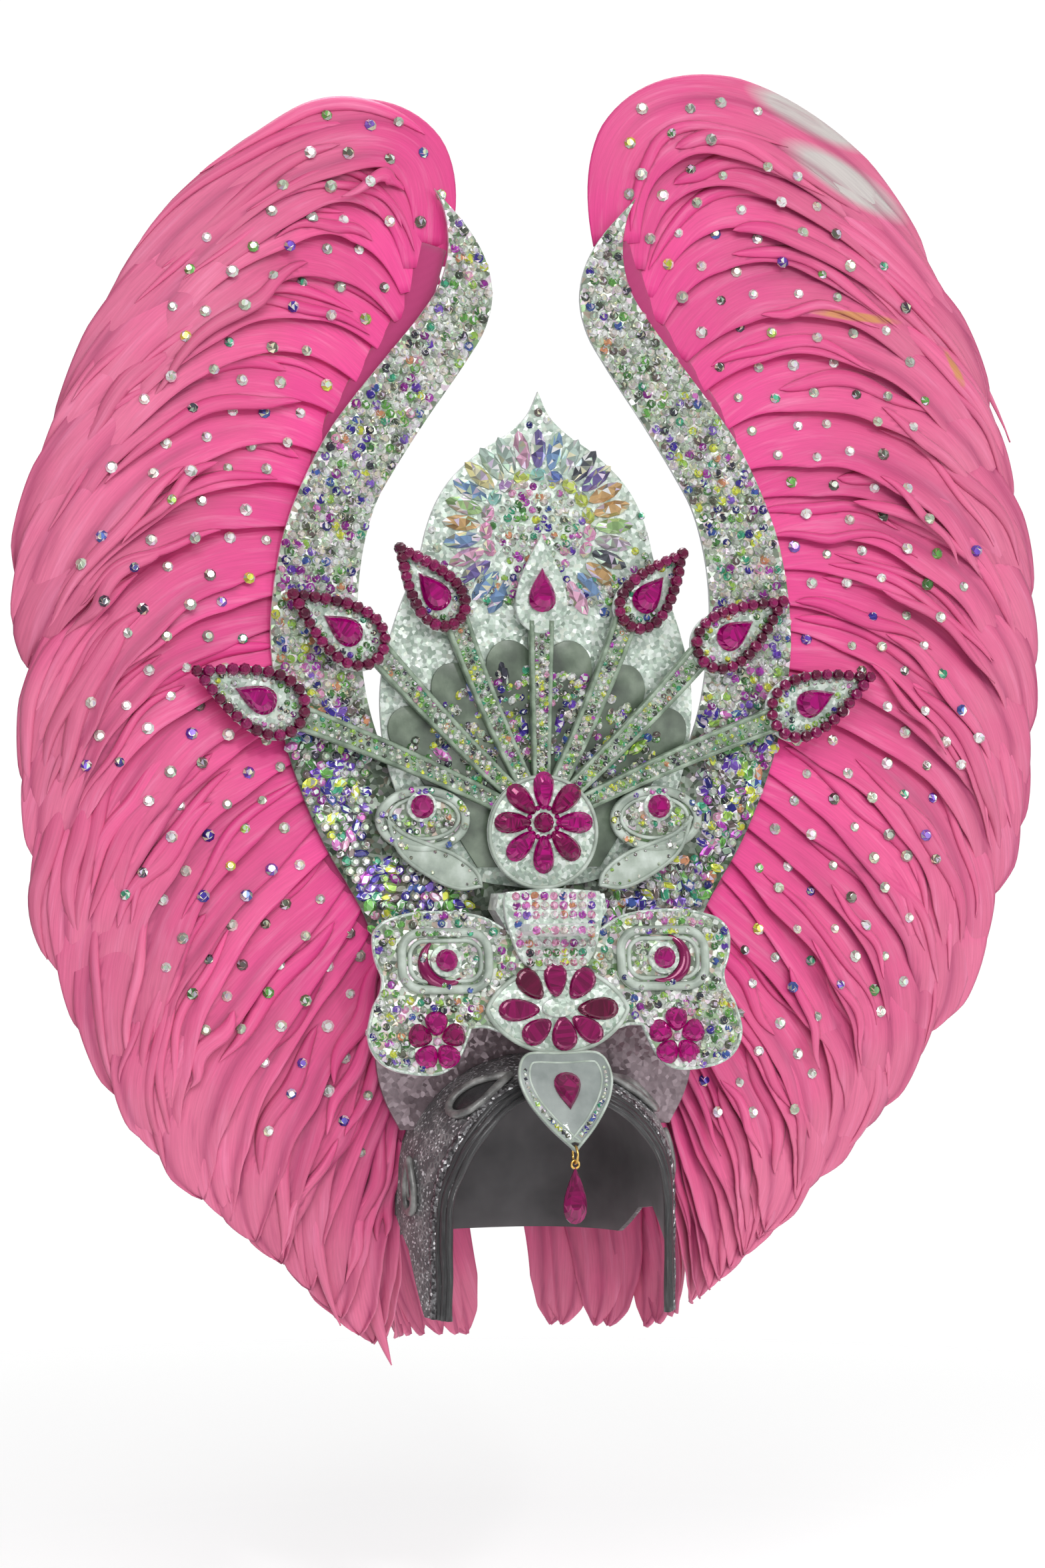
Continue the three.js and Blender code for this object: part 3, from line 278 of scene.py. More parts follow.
def makeMaterials():
    tree, shader, colour = glitterPaint("glitterBoard", boardPaints["mixed"], 3.1)
    tree.links.new(colour, shader.inputs["Base Color"])

    tree, shader, colour = glitterPaint("silverBoard", boardPaints["silver"], 2.3, 0.35, 0.2, 0.32)
    tree.links.new(colour, shader.inputs["Base Color"])

    # The tall frame: glitter above, plain mauve-grey cloth where it runs down beside the cap
    tree, shader, colour = glitterPaint("frameBoard", boardPaints["mixed"], 3.1)
    height = addNode(tree, "ShaderNodeSeparateXYZ", {"Vector": here(tree)}).outputs["Z"]
    low = between(tree, height, 0.19, 0.235)
    colour = blendColour(tree, low, blendColour(tree, 1.0, colour, (0.3, 0.34, 0.3, 1), "MULTIPLY"), colour)
    upper = between(tree, height, 0.030, 0.036)
    weave = grainOf(tree, 3, 4)
    cloth = ramp(tree, weave, [(0.3, paint(132, 116, 122)), (0.7, paint(148, 132, 138))])
    tree.links.new(blendColour(tree, upper, cloth, colour), shader.inputs["Base Color"])

    for name, trim in trims.items():
        cloudyTrim(name, **trim)

    # Cut stones: each facet has its own colour in the attribute, made lighter or darker at random as painted sparkle
    for name, roughness, metallic, coat in (("magentaStone", 0.12, 0.3, 0.6), ("wineBead", 0.2, 0.1, 0.7),
                                            ("clearStone", 0.14, 0.45, 0.5)):
        tree, shader = startMaterial(name, roughness=roughness, Metallic=metallic,
                                     Coat_Weight=coat, Coat_Roughness=0.05)
        facet = addNode(tree, "ShaderNodeAttribute", attribute_name="stoneColour")
        cloud = grainOf(tree, 2.5, 2)
        depth = ramp(tree, cloud, [(0.3, (0.88, 0.88, 0.88, 1)), (0.7, (1, 1, 1, 1))])
        colour = blendColour(tree, 1.0, facet.outputs["Color"], depth, "MULTIPLY")
        tree.links.new(colour, shader.inputs["Base Color"])

    makeFeatherMaterial()

    tree, shader = startMaterial("strapCloth", roughness=0.85, Sheen_Weight=0.3)
    thread = {"Vector": here(tree), "Scale": 700.0, "Distortion": 1.5}
    thread = addNode(tree, "ShaderNodeTexWave", thread, bands_direction="Z")
    shade = ramp(tree, thread.outputs["Fac"], [(0.2, paint(150, 40, 92)), (0.8, paint(196, 62, 124))])
    tree.links.new(shade, shader.inputs["Base Color"])
    bump(tree, shader, thread.outputs["Fac"], 0.0002, 0.6)

    # Cap: grey padded cloth under glitter lace
    tree, shader = startMaterial("capCloth", roughness=0.55, Metallic=0.15, Sheen_Weight=0.2)
    wobble = grainOf(tree, 30, 3)
    cells = cellsOf(tree, 3.4, feature="DISTANCE_TO_EDGE")
    thread = between(tree, cells.outputs["Distance"], 0.03, 0.2)
    lace = blendColour(tree, thread, paint(146, 144, 144), paint(92, 90, 92))
    patches = mask(tree, grainOf(tree, 11, 3), 0.44, 0.56)
    lace = blendColour(tree, patches, paint(86, 84, 86), lace)
    specks = cellsOf(tree, 1.3)
    glint = addNode(tree, "ShaderNodeSeparateColor", {"Color": specks.outputs["Color"]}).outputs["Red"]
    lace = blendColour(tree, mask(tree, glint, 0.9, 0.92), lace, paint(226, 226, 228))
    shade = ramp(tree, wobble, [(0.3, (0.62, 0.62, 0.63, 1)), (0.7, (1, 1, 1, 1))])
    lace = blendColour(tree, 1.0, lace, shade, "MULTIPLY")
    outside = addNode(tree, "ShaderNodeVectorMath", {0: here(tree), 1: (0, 0.008, -0.09)}, operation="SUBTRACT")
    normal = addNode(tree, "ShaderNodeNewGeometry").outputs["Normal"]
    outside = addNode(tree, "ShaderNodeVectorMath", {0: outside.outputs[0], 1: normal}, operation="DOT_PRODUCT")
    outside = between(tree, outside.outputs["Value"], -0.01, 0.01)
    lining = ramp(tree, wobble, [(0.3, paint(70, 68, 70)), (0.7, paint(96, 94, 96))])
    tree.links.new(blendColour(tree, outside, lining, lace), shader.inputs["Base Color"])
    lifted = mathOf(tree, mathOf(tree, thread, -1), outside)
    bump(tree, shader, lifted, 0.0004, 0.7)

    tree, shader = startMaterial("darkBand", roughness=0.3, Coat_Weight=0.5, Coat_Roughness=0.2)
    strands = addNode(tree, "ShaderNodeUVMap", uv_map="UVMap")
    strands = addNode(tree, "ShaderNodeMapping", {"Vector": strands.outputs["UV"], "Scale": (3.0, 26.0, 1.0)})
    hair = noise(tree, strands.outputs["Vector"], 4.0, 5)
    # Near-black strands with grey streaks along them: the strands' own tone, and in part painted sheen
    strandStops = [(0.34, paint(16, 16, 17)), (0.55, paint(46, 46, 48)), (0.75, paint(108, 108, 108))]
    shade = ramp(tree, hair, strandStops)
    tree.links.new(shade, shader.inputs["Base Color"])
    bump(tree, shader, hair, 0.0006, 0.8)

    tree, shader = startMaterial("giltWire", roughness=0.24, Metallic=1.0)
    worn = grainOf(tree, 2, 3)
    shade = ramp(tree, worn, [(0.3, paint(186, 140, 62)), (0.7, paint(240, 206, 128))])
    tree.links.new(shade, shader.inputs["Base Color"])


# light is the colour of the painted highlights on the feathers, shadow that of their painted shade
featherPaint = {
    "root": (232, 58, 142), "middle": (228, 84, 142), "tip": (222, 112, 148), "shadow": (150, 36, 90),
    "light": (246, 152, 190), "grey": (196, 190, 186), "ochre": (204, 138, 88),
}


# Satin-like dyed feather: barbs and streaks follow the blade's own UV, in metres. Its pale streaks are painted
# highlights, and its wine lines are painted shade
def makeFeatherMaterial():
    tree, shader = startMaterial("pinkFeather", roughness=0.5, Sheen_Weight=0.25, Sheen_Roughness=0.4)
    shader.inputs["Sheen Tint"].default_value = paint(255, 190, 215)
    place = addNode(tree, "ShaderNodeAttribute", attribute_name="featherPlace")
    shadeAt = addNode(tree, "ShaderNodeAttribute", attribute_name="featherShade")
    placeOf = addNode(tree, "ShaderNodeSeparateColor", {"Color": place.outputs["Color"]})
    shadeOf = addNode(tree, "ShaderNodeSeparateColor", {"Color": shadeAt.outputs["Color"]})
    barbs = addNode(tree, "ShaderNodeUVMap", uv_map="UVMap").outputs["UV"]
    wide = addNode(tree, "ShaderNodeMapping", {"Vector": barbs, "Scale": (14.0, 160.0, 1.0)}).outputs["Vector"]
    fine = addNode(tree, "ShaderNodeMapping", {"Vector": barbs, "Scale": (40.0, 900.0, 1.0)}).outputs["Vector"]
    streak = noise(tree, wide, 1.0, 4, 0.6)
    hair = noise(tree, fine, 1.0, 3)
    cloud = grainOf(tree, 45, 3)
    along = mathOf(tree, placeOf.outputs["Red"], mathOf(tree, cloud, 0.5), "ADD")
    along = mathOf(tree, along, 0.25, "SUBTRACT")
    colour = ramp(tree, along, [(0.05, paint(*featherPaint["root"])), (0.42, paint(*featherPaint["middle"])),
                                (0.85, paint(*featherPaint["tip"]))])
    # Painted highlights: pale streaks along the blade, in the light paint
    lift = mask(tree, streak, 0.52, 0.74)
    colour = blendColour(tree, mathOf(tree, lift, 0.42), colour, paint(*featherPaint["light"]))
    tint = ramp(tree, shadeOf.outputs["Blue"], [(0, (0.84, 0.8, 0.82, 1)), (1, (1, 1, 1, 1))])
    colour = blendColour(tree, 1.0, colour, tint, "MULTIPLY")
    ochre = mask(tree, placeOf.outputs["Green"], 0.35, 0.6)
    colour = blendColour(tree, ochre, colour, paint(*featherPaint["ochre"]))
    grey = mask(tree, placeOf.outputs["Blue"], 0.35, 0.6)
    colour = blendColour(tree, grey, colour, paint(*featherPaint["grey"]))
    # Painted shade: thin dark lines where the streak noise is low, stronger toward the tip, the fold shade in the
    # red of featherShade and the shadow under the feather above in its green, broken up by noise, all mixed toward
    # the shadow paint
    creaseShade = ramp(tree, streak, [(0.3, (1, 1, 1, 1)), (0.42, (0, 0, 0, 1))])
    creaseShade = mathOf(tree, creaseShade, placeOf.outputs["Red"])
    shadowBreakup = ramp(tree, grainOf(tree, 26, 3), [(0.36, (0.25, 0.25, 0.25, 1)), (0.6, (1, 1, 1, 1))])
    under = mathOf(tree, shadeOf.outputs["Green"], shadowBreakup)
    dark = shadeOf.outputs["Red"]
    for more in (under, mathOf(tree, creaseShade, 0.5)):
        dark = addNode(tree, "ShaderNodeMath", {0: dark, 1: more}, operation="ADD", use_clamp=True).outputs[0]
    colour = blendColour(tree, mathOf(tree, dark, 0.8), colour, paint(*featherPaint["shadow"]))
    hairShade = ramp(tree, hair, [(0.3, (0.86, 0.84, 0.86, 1)), (0.7, (1, 1, 1, 1))])
    tree.links.new(blendColour(tree, 1.0, colour, hairShade, "MULTIPLY"), shader.inputs["Base Color"])
    bump(tree, shader, mathOf(tree, mathOf(tree, hair, 0.3), streak, "ADD"), 0.0007, 0.6)


setStudio()
makeMaterials()
print("studio and materials ready")


# Shapes that several pieces share

# Gives a piece its material, parents it to its body and hides the parts it replaces. Its material is None where its
# parts have their own
def dress(piece, material, slot, body="headdress", replacing=()):
    if material:
        piece.data.materials.clear()
        piece.data.materials.append(bpy.data.materials[material])
    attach(piece, body)
    if replacing:
        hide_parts(*replacing)
    piece.select_set(False)
    return piece


# Edits the whole active mesh: joins points nearer than weld, closes holes, turns the faces out
def mend(weld=0, fill=False, turnOut=True):
    bpy.ops.object.mode_set(mode="EDIT")
    bpy.ops.mesh.select_all(action="SELECT")
    if weld:
        bpy.ops.mesh.remove_doubles(threshold=weld)
    if fill:
        bpy.ops.mesh.fill_holes(sides=0)
    if turnOut:
        bpy.ops.mesh.normals_make_consistent(inside=False)
    bpy.ops.object.mode_set(mode="OBJECT")


def applyModifiers(piece):
    bpy.context.view_layer.objects.active = piece
    for modifier in list(piece.modifiers):
        bpy.ops.object.modifier_apply(modifier=modifier.name)


def merged(name, parts):
    for part in parts:
        part.select_set(True)
    bpy.context.view_layer.objects.active = parts[0]
    bpy.ops.object.join()
    parts[0].name = name
    parts[0].data.name = name
    parts[0].select_set(False)
    return parts[0]


# A grid whose points are moved to the given rows, with its UV in metres or as given
def shapedGrid(name, rows, uv=None, close=False):
    rows = np.asarray(rows, dtype=float)
    down, across = rows.shape[:2]
    bpy.ops.mesh.primitive_grid_add(x_subdivisions=across - 1, y_subdivisions=down - 1, size=1)
    piece = bpy.context.active_object
    piece.name = name
    piece.data.name = name
    piece.data.vertices.foreach_set("co", (rows.reshape(-1, 3) * mm).ravel())
    if uv is not None:
        flatUv = np.asarray(uv, dtype=float).reshape(-1, 2)
        corners = np.empty(len(piece.data.loops), dtype=np.int32)
        piece.data.loops.foreach_get("vertex_index", corners)
        piece.data.uv_layers[0].data.foreach_set("uv", flatUv[corners].ravel())
    piece.data.update()
    if close:
        mend(weld=0.00002)
    bpy.ops.object.shade_smooth()
    piece.select_set(False)
    return piece


# The outlines of a CAD board's front face, in its group's own x and z, and where that face lies
def frontLoops(name, group):
    mesh = nodes[name].data
    back = group.inverted()
    points = [tuple(round(c / mm, 2) for c in back @ v.co) for v in mesh.vertices]
    front = min(p[1] for p in points)
    edges = set()
    for face in mesh.polygons:
        if all(abs(points[i][1] - front) < 0.06 for i in face.vertices):
            keys = [(points[i][0], points[i][2]) for i in face.vertices]
            for first, second in zip(keys, keys[1:] + keys[:1]):
                if (second, first) in edges:
                    edges.remove((second, first))
                else:
                    edges.add((first, second))
    follows = {}
    for first, second in sorted(edges):
        follows.setdefault(first, []).append(second)
    loops = []
    while follows:
        start = next(iter(follows))
        loop, at = [], start
        while at in follows:
            loop.append(at)
            onward = follows[at].pop()
            if not follows[at]:
                del follows[at]
            at = onward
        if len(loop) > 2:
            loops.append(loop)
    loops.sort(key=lambda loop: -abs(areaOf(loop)))
    return loops, front


def areaOf(loop):
    return sum(a[0] * b[1] - b[0] * a[1] for a, b in zip(loop, loop[1:] + loop[:1])) / 2


# Rounds an outline between its corners
def smoothLoop(loop, parts=4, cornerDegrees=38):
    points = [Vector(p) for p in loop]
    points = [p for i, p in enumerate(points) if (p - points[i - 1]).length > 0.05]
    count = len(points)
    headings = []
    for i, point in enumerate(points):
        arriving = (point - points[i - 1]).normalized()
        leaving = (points[(i + 1) % count] - point).normalized()
        isCorner = arriving.angle(leaving, 0) > math.radians(cornerDegrees)
        middle = (arriving + leaving).normalized()
        headings.append((arriving, leaving) if isCorner else (middle, middle))
    result = []
    for i, point in enumerate(points):
        end = points[(i + 1) % count]
        chord = (end - point).length
        leave, arrive = headings[i][1] * chord, headings[(i + 1) % count][0] * chord
        for step in range(parts):
            t = step / parts
            result.append(point * (2 * t**3 - 3 * t**2 + 1) + leave * (t**3 - 2 * t**2 + t)
                          + end * (3 * t**2 - 2 * t**3) + arrive * (t**3 - t**2))
    return [(p.x, p.y) for p in result]


# A board cut to the loops, with a small bevel: its front lies at y = front in the group
def cutBoard(name, loops, front, thickness, group=straight, bevel=0.45):
    curve = bpy.data.curves.new(name, "CURVE")
    curve.dimensions = "2D"
    curve.fill_mode = "BOTH"
    curve.extrude = (thickness / 2 - bevel) * mm
    curve.bevel_depth = bevel * mm
    curve.bevel_resolution = 1
    curve.offset = -bevel * mm
    for loop in loops:
        line = curve.splines.new("POLY")
        line.points.add(len(loop) - 1)
        for point, (x, z) in zip(line.points, loop):
            point.co = (x * mm, z * mm, 0, 1)
        line.use_cyclic_u = True
    piece = bpy.data.objects.new(name, curve)
    bpy.context.scene.collection.objects.link(piece)
    bpy.context.view_layer.objects.active = piece
    piece.select_set(True)
    bpy.ops.object.convert(target="MESH")
    piece = bpy.context.active_object
    middle = Matrix.Translation((0, (front + thickness / 2) * mm, 0))
    piece.data.transform(group @ middle @ Matrix.Rotation(math.pi / 2, 4, "X"))
    mend(weld=0.00001)
    bpy.ops.object.shade_smooth_by_angle(angle=math.radians(32))
    piece.select_set(False)
    return piece


def boardFrom(name, group=straight, thickness=3, bevel=0.45, parts=4):
    loops, front = frontLoops(name, group)
    loops = [smoothLoop(loop, parts) for loop in loops]
    return cutBoard(name + "Cut", loops, front, thickness, group, bevel), front


def surfaceOf(*pieces):
    points, faces = [], []
    for piece in pieces:
        start = len(points)
        points += [v.co.copy() for v in piece.data.vertices]
        faces += [[start + i for i in face.vertices] for face in piece.data.polygons]
    return BVHTree.FromPolygons(points, faces)


# Where a line from the front at x, z meets the surface, and which way it looks there
def seat(surface, x, z, group=straight, y=-300):
    start = group @ (Vector((x, y, z)) * mm)
    spot = surface.ray_cast(start, (group.to_3x3() @ Vector((0, 1, 0))))
    return (spot[0], spot[1]) if spot[0] is not None else (None, None)


# A strip of the given section carried along a line that looks the way out
def sweep(name, line, out, section, closed=False, widths=None):
    line = [Vector(p) for p in line]
    outward = Vector(out)
    count = len(line)
    rows, uv, run = [], [], 0
    for i, point in enumerate(line):
        before = line[i - 1] if closed or i else line[0]
        after = line[(i + 1) % count] if closed or i < count - 1 else line[-1]
        side = (after - before).normalized().cross(outward).normalized()
        share = 1 if widths is None else widths[i]
        rows.append([point + side * s * share + outward * lift * share for s, lift in section])
        run += (point - line[i - 1]).length if i else 0
        uv.append([(run * mm, k / (len(section) - 1)) for k in range(len(section))])
    if closed:
        rows.append(rows[0])
        uv.append([(run * mm, k / (len(section) - 1)) for k in range(len(section))])
    return shapedGrid(name, rows, uv, close=True)


def roundSection(wide, high, count=10):
    turns = [2 * math.pi * k / count for k in range(count + 1)]
    return [(wide * math.cos(a), high * math.sin(a)) for a in turns]


def capEnds(piece):
    bpy.context.view_layer.objects.active = piece
    piece.select_set(True)
    mend(fill=True)
    piece.select_set(False)
    return piece


def inGroup(piece, group):
    piece.data.transform(group)
    return piece


# Outlines, in millimetres, for a share of a turn from 0 to 1

def ovalLine(wide, high):
    return lambda share: (wide / 2 * math.cos(2 * math.pi * share), high / 2 * math.sin(2 * math.pi * share))


def teardropLine(long, wide):
    def at(share):
        a = 2 * math.pi * share
        return long / 2 * math.cos(a), wide * 0.58 * math.sin(a) * math.sin(a / 2) ** 1.3
    return at


def petalLine(long, wide):
    def at(share):
        a = 2 * math.pi * share
        out = (1 - math.cos(a)) / 2
        return long * out, -wide / 2 * math.sin(a) * (0.62 + 0.5 * out)
    return at


def marquiseLine(long, wide):
    def at(share):
        a = 2 * math.pi * share
        return long / 2 * math.cos(a), wide / 2 * math.sin(a) * abs(math.sin(a)) ** 0.35
    return at


def placedLine(line, count, x, z, turn):
    c, s = math.cos(turn), math.sin(turn)
    points = [line(i / count) for i in range(count)]
    return [(x + c * px - s * pz, z + s * px + c * pz) for px, pz in points]


def squareLine(reach):
    def at(share):
        a = 2 * math.pi * share + math.pi / 4
        return reach * math.cos(a), reach * math.sin(a)
    return at


def insetLoop(loop, inset):
    sign = 1 if areaOf(loop) > 0 else -1
    result = []
    for i, point in enumerate(loop):
        along = (Vector(loop[(i + 1) % len(loop)]) - Vector(loop[i - 1])).normalized()
        spot = Vector(point) + Vector((-along.y, along.x)) * sign * inset
        result.append((spot.x, spot.y))
    return result


# Cut stones: modelled once each, facing +Z, then copied as joined meshes

gems = {}


def cutGem(name, line, count, height, rows):
    bpy.ops.mesh.primitive_circle_add(vertices=count, radius=1, fill_type="NGON")
    piece = bpy.context.active_object
    for i, vertex in enumerate(piece.data.vertices):
        x, y = line(i / count)
        vertex.co = (x * mm, y * mm, 0)
    last = [v.co.copy() for v in piece.data.vertices]
    for share, rise, shift in rows:
        bpy.ops.object.mode_set(mode="EDIT")
        bpy.ops.mesh.extrude_region_move(TRANSFORM_OT_translate={"value": (0, 0, 0.0001)})
        bpy.ops.object.mode_set(mode="OBJECT")
        middle = sum(last, Vector()) / count
        ring = [v for v in piece.data.vertices if v.select]
        order = [min(range(count), key=lambda k: (last[k].xy - v.co.xy).length) for v in ring]
        last = [None] * count
        for k in range(count):
            x, y = line(((k + shift) / count) % 1)
            last[k] = Vector((middle.x + (x * mm - middle.x) * share, middle.y + (y * mm - middle.y) * share,
                              rise * height * mm))
        for vertex, k in zip(ring, order):
            vertex.co = last[k]
    bpy.ops.object.mode_set(mode="EDIT")
    bpy.ops.mesh.select_all(action="SELECT")
    bpy.ops.mesh.quads_convert_to_tris(quad_method="FIXED", ngon_method="BEAUTY")
    bpy.ops.mesh.normals_make_consistent(inside=False)
    bpy.ops.object.mode_set(mode="OBJECT")
    points = np.array([v.co[:] for v in piece.data.vertices])
    faces = np.array([f.vertices[:] for f in piece.data.polygons if f.center.z > 1e-6 or f.normal.z > -0.9])
    bpy.data.meshes.remove(piece.data)
    gems[name] = (points, faces)


def cutGems():
    crown = [(1, 0.25, 0), (0.8, 0.66, 0.5), (0.5, 1, 0)]
    cutGem("round", ovalLine(1, 1), 8, 0.42, [(1, 0.3, 0), (0.56, 1, 0.5)])
    cutGem("roundLarge", ovalLine(1, 1), 12, 0.46, crown)
    cutGem("square", squareLine(0.675), 4, 0.4, [(1, 0.3, 0), (0.6, 1, 0)])
    cutGem("teardrop", teardropLine(26, 17), 20, 7, crown)
    cutGem("dropStone", teardropLine(35, 17.5), 20, 3, crown)
    cutGem("browDrop", teardropLine(22, 16), 20, 5, crown)
    cutGem("petal", petalLine(24, 15), 20, 5.4, crown)
    cutGem("flatPetal", petalLine(24, 16.5), 20, 3, [(1, 0.4, 0), (0.86, 0.85, 0.5), (0.74, 1, 0)])
    cutGem("smallPetal", petalLine(15, 16), 16, 4.4, crown)
    cutGem("marquise", marquiseLine(1, 0.44), 10, 0.18, [(1, 0.3, 0), (0.55, 1, 0)])
    cutGem("bead", ovalLine(1, 1), 8, 0.92, [(1.0, 0.25, 0), (1.18, 0.5, 0.5), (0.9, 0.85, 0), (0.5, 1, 0.5)])


# material and slot of each kind of stone
stoneKinds = {"clear": ("clearStone", "clear_stone"), "magenta": ("magentaStone", "magenta_stone"),
              "wine": ("wineBead", "wine_bead")}
stoneSink, accentShare = 0.00012, 0.34


# One mesh of many stones. A place is (spot, outward, turn in degrees, size or sizes)
def setStones(name, gem, places, colours, kind, seed, spread,
              body="headdress", replacing=(), group=straight, accents=()):
    rng = np.random.default_rng(seed)
    points, faces = gems[gem]
    allPoints, allFaces, allColours = [], [], []
    up = group.to_3x3() @ Vector((0, 0, 1))
    for index, (spot, outward, turn, size) in enumerate(places):
        out = Vector(outward).normalized()
        right = up.cross(out).normalized()
        above = out.cross(right)
        c, s = math.cos(math.radians(turn)), math.sin(math.radians(turn))
        sizes = (size, size, size) if isinstance(size, (int, float)) else size
        along, across = right * c + above * s, above * c - right * s
        axes = np.array([along * sizes[0], across * sizes[1], out * sizes[2]])
        allPoints.append(points @ axes + np.array(spot - out * stoneSink))
        allFaces.append(faces + index * len(points))
        # Painted sparkle: each facet is made lighter or darker at random, by up to spread, standing in for glints
        # and dark reflections
        shades = 1 + spread * rng.uniform(-1, 1, len(faces))[:, None]
        tone = np.tile(np.array(colours[index][:3]), (len(faces), 1))
        if accents:
            swapped = rng.random(len(faces)) < accentShare
            tone[swapped] = np.array(accents)[rng.integers(0, len(accents), swapped.sum())][:, :3]
        allColours.append(np.clip(tone * shades, 0, 1))
    mesh = bpy.data.meshes.new(name)
    mesh.from_pydata(np.concatenate(allPoints).tolist(), [], np.concatenate(allFaces).tolist())
    tones = mesh.color_attributes.new("stoneColour", "FLOAT_COLOR", "CORNER")
    flat = np.concatenate(allColours)
    flat = np.concatenate([flat, np.ones((len(flat), 1))], axis=1)
    tones.data.foreach_set("color", np.repeat(flat, 3, axis=0).ravel())
    piece = bpy.data.objects.new(name, mesh)
    bpy.context.scene.collection.objects.link(piece)
    return dress(piece, *stoneKinds[kind], body, replacing)


# One magenta stone, set where a line from the front meets the surface
def setOne(name, gem, surface, x, z, turn, sizes, tone, seed, spread, replacing=(), group=straight):
    spot, normal = seat(surface, x, z, group)
    setStones(name, gem, [(spot, normal, turn, sizes)], [magenta(tone)], "magenta", seed, spread,
              replacing=replacing, group=group)


# Seats of a field of stones: a staggered grid over the surface, clear of its edges
def fieldSeats(surface, box, pitch, clear, seed, group=straight, jitter=0.1, accept=None, level=None):
    levelGap, edgeGap, rowPitch = 0.3, 0.35, 0.866
    rng = random.Random(seed)
    lowX, lowZ, highX, highZ = box
    found = []
    row = 0
    z = lowZ
    while z < highZ:
        x = lowX + (pitch / 2 if row % 2 else 0)
        while x < highX:
            px, pz = x + rng.uniform(-jitter, jitter) * pitch, z + rng.uniform(-jitter, jitter) * pitch
            x += pitch
            if accept and not accept(px, pz):
                continue
            spot, normal = seat(surface, px, pz, group)
            if spot is None:
                continue
            depth = (group.inverted() @ spot).y / mm
            if level is not None and abs(depth - level) > levelGap:
                continue
            around = []
            for a in (k * math.pi / 3 for k in range(6)):
                near = seat(surface, px + clear * math.cos(a), pz + clear * math.sin(a), group)[0]
                around.append(near is not None and abs((group.inverted() @ near).y / mm - depth) < edgeGap)
            if all(around):
                found.append((spot, normal, px, pz))
        z += pitch * rowPitch
        row += 1
    return found


stonePaints = {
    "pale": [(236, 238, 234), (206, 212, 204), (176, 184, 172), (246, 246, 246), (196, 210, 186), (222, 214, 206)],
    "cool": [(66, 50, 156), (106, 66, 180), (48, 46, 124), (136, 100, 200), (70, 96, 170)],
    "warm": [(182, 70, 184), (214, 122, 196), (150, 48, 150), (232, 164, 198), (214, 150, 112)],
    "leaf": [(108, 172, 84), (164, 206, 96), (80, 132, 74), (214, 222, 84), (70, 164, 128)],
    "dark": [(78, 84, 74), (104, 106, 92), (64, 64, 76), (118, 104, 102)],
    "accents": [(246, 246, 246), (150, 156, 146), (196, 226, 200), (220, 204, 228), (226, 222, 190)],
}
accents = [paint(*c) for c in stonePaints["accents"]]


def mixedColour(rng, weights):
    kinds = list(weights)
    kind = rng.choices(kinds, [weights[k] for k in kinds])[0]
    return paint(*rng.choice(stonePaints[kind]))


magentaPaint = {"deep": (128, 0, 78), "bright": (160, 0, 108), "wine": (96, 0, 50)}


def magenta(tone):
    return paint(*magentaPaint[tone])


cutGems()
print("stones cut:", len(gems), "shapes")


# Wings of feathers. Columns: root out and up, start angle, tip out and up, end angle, arch, width

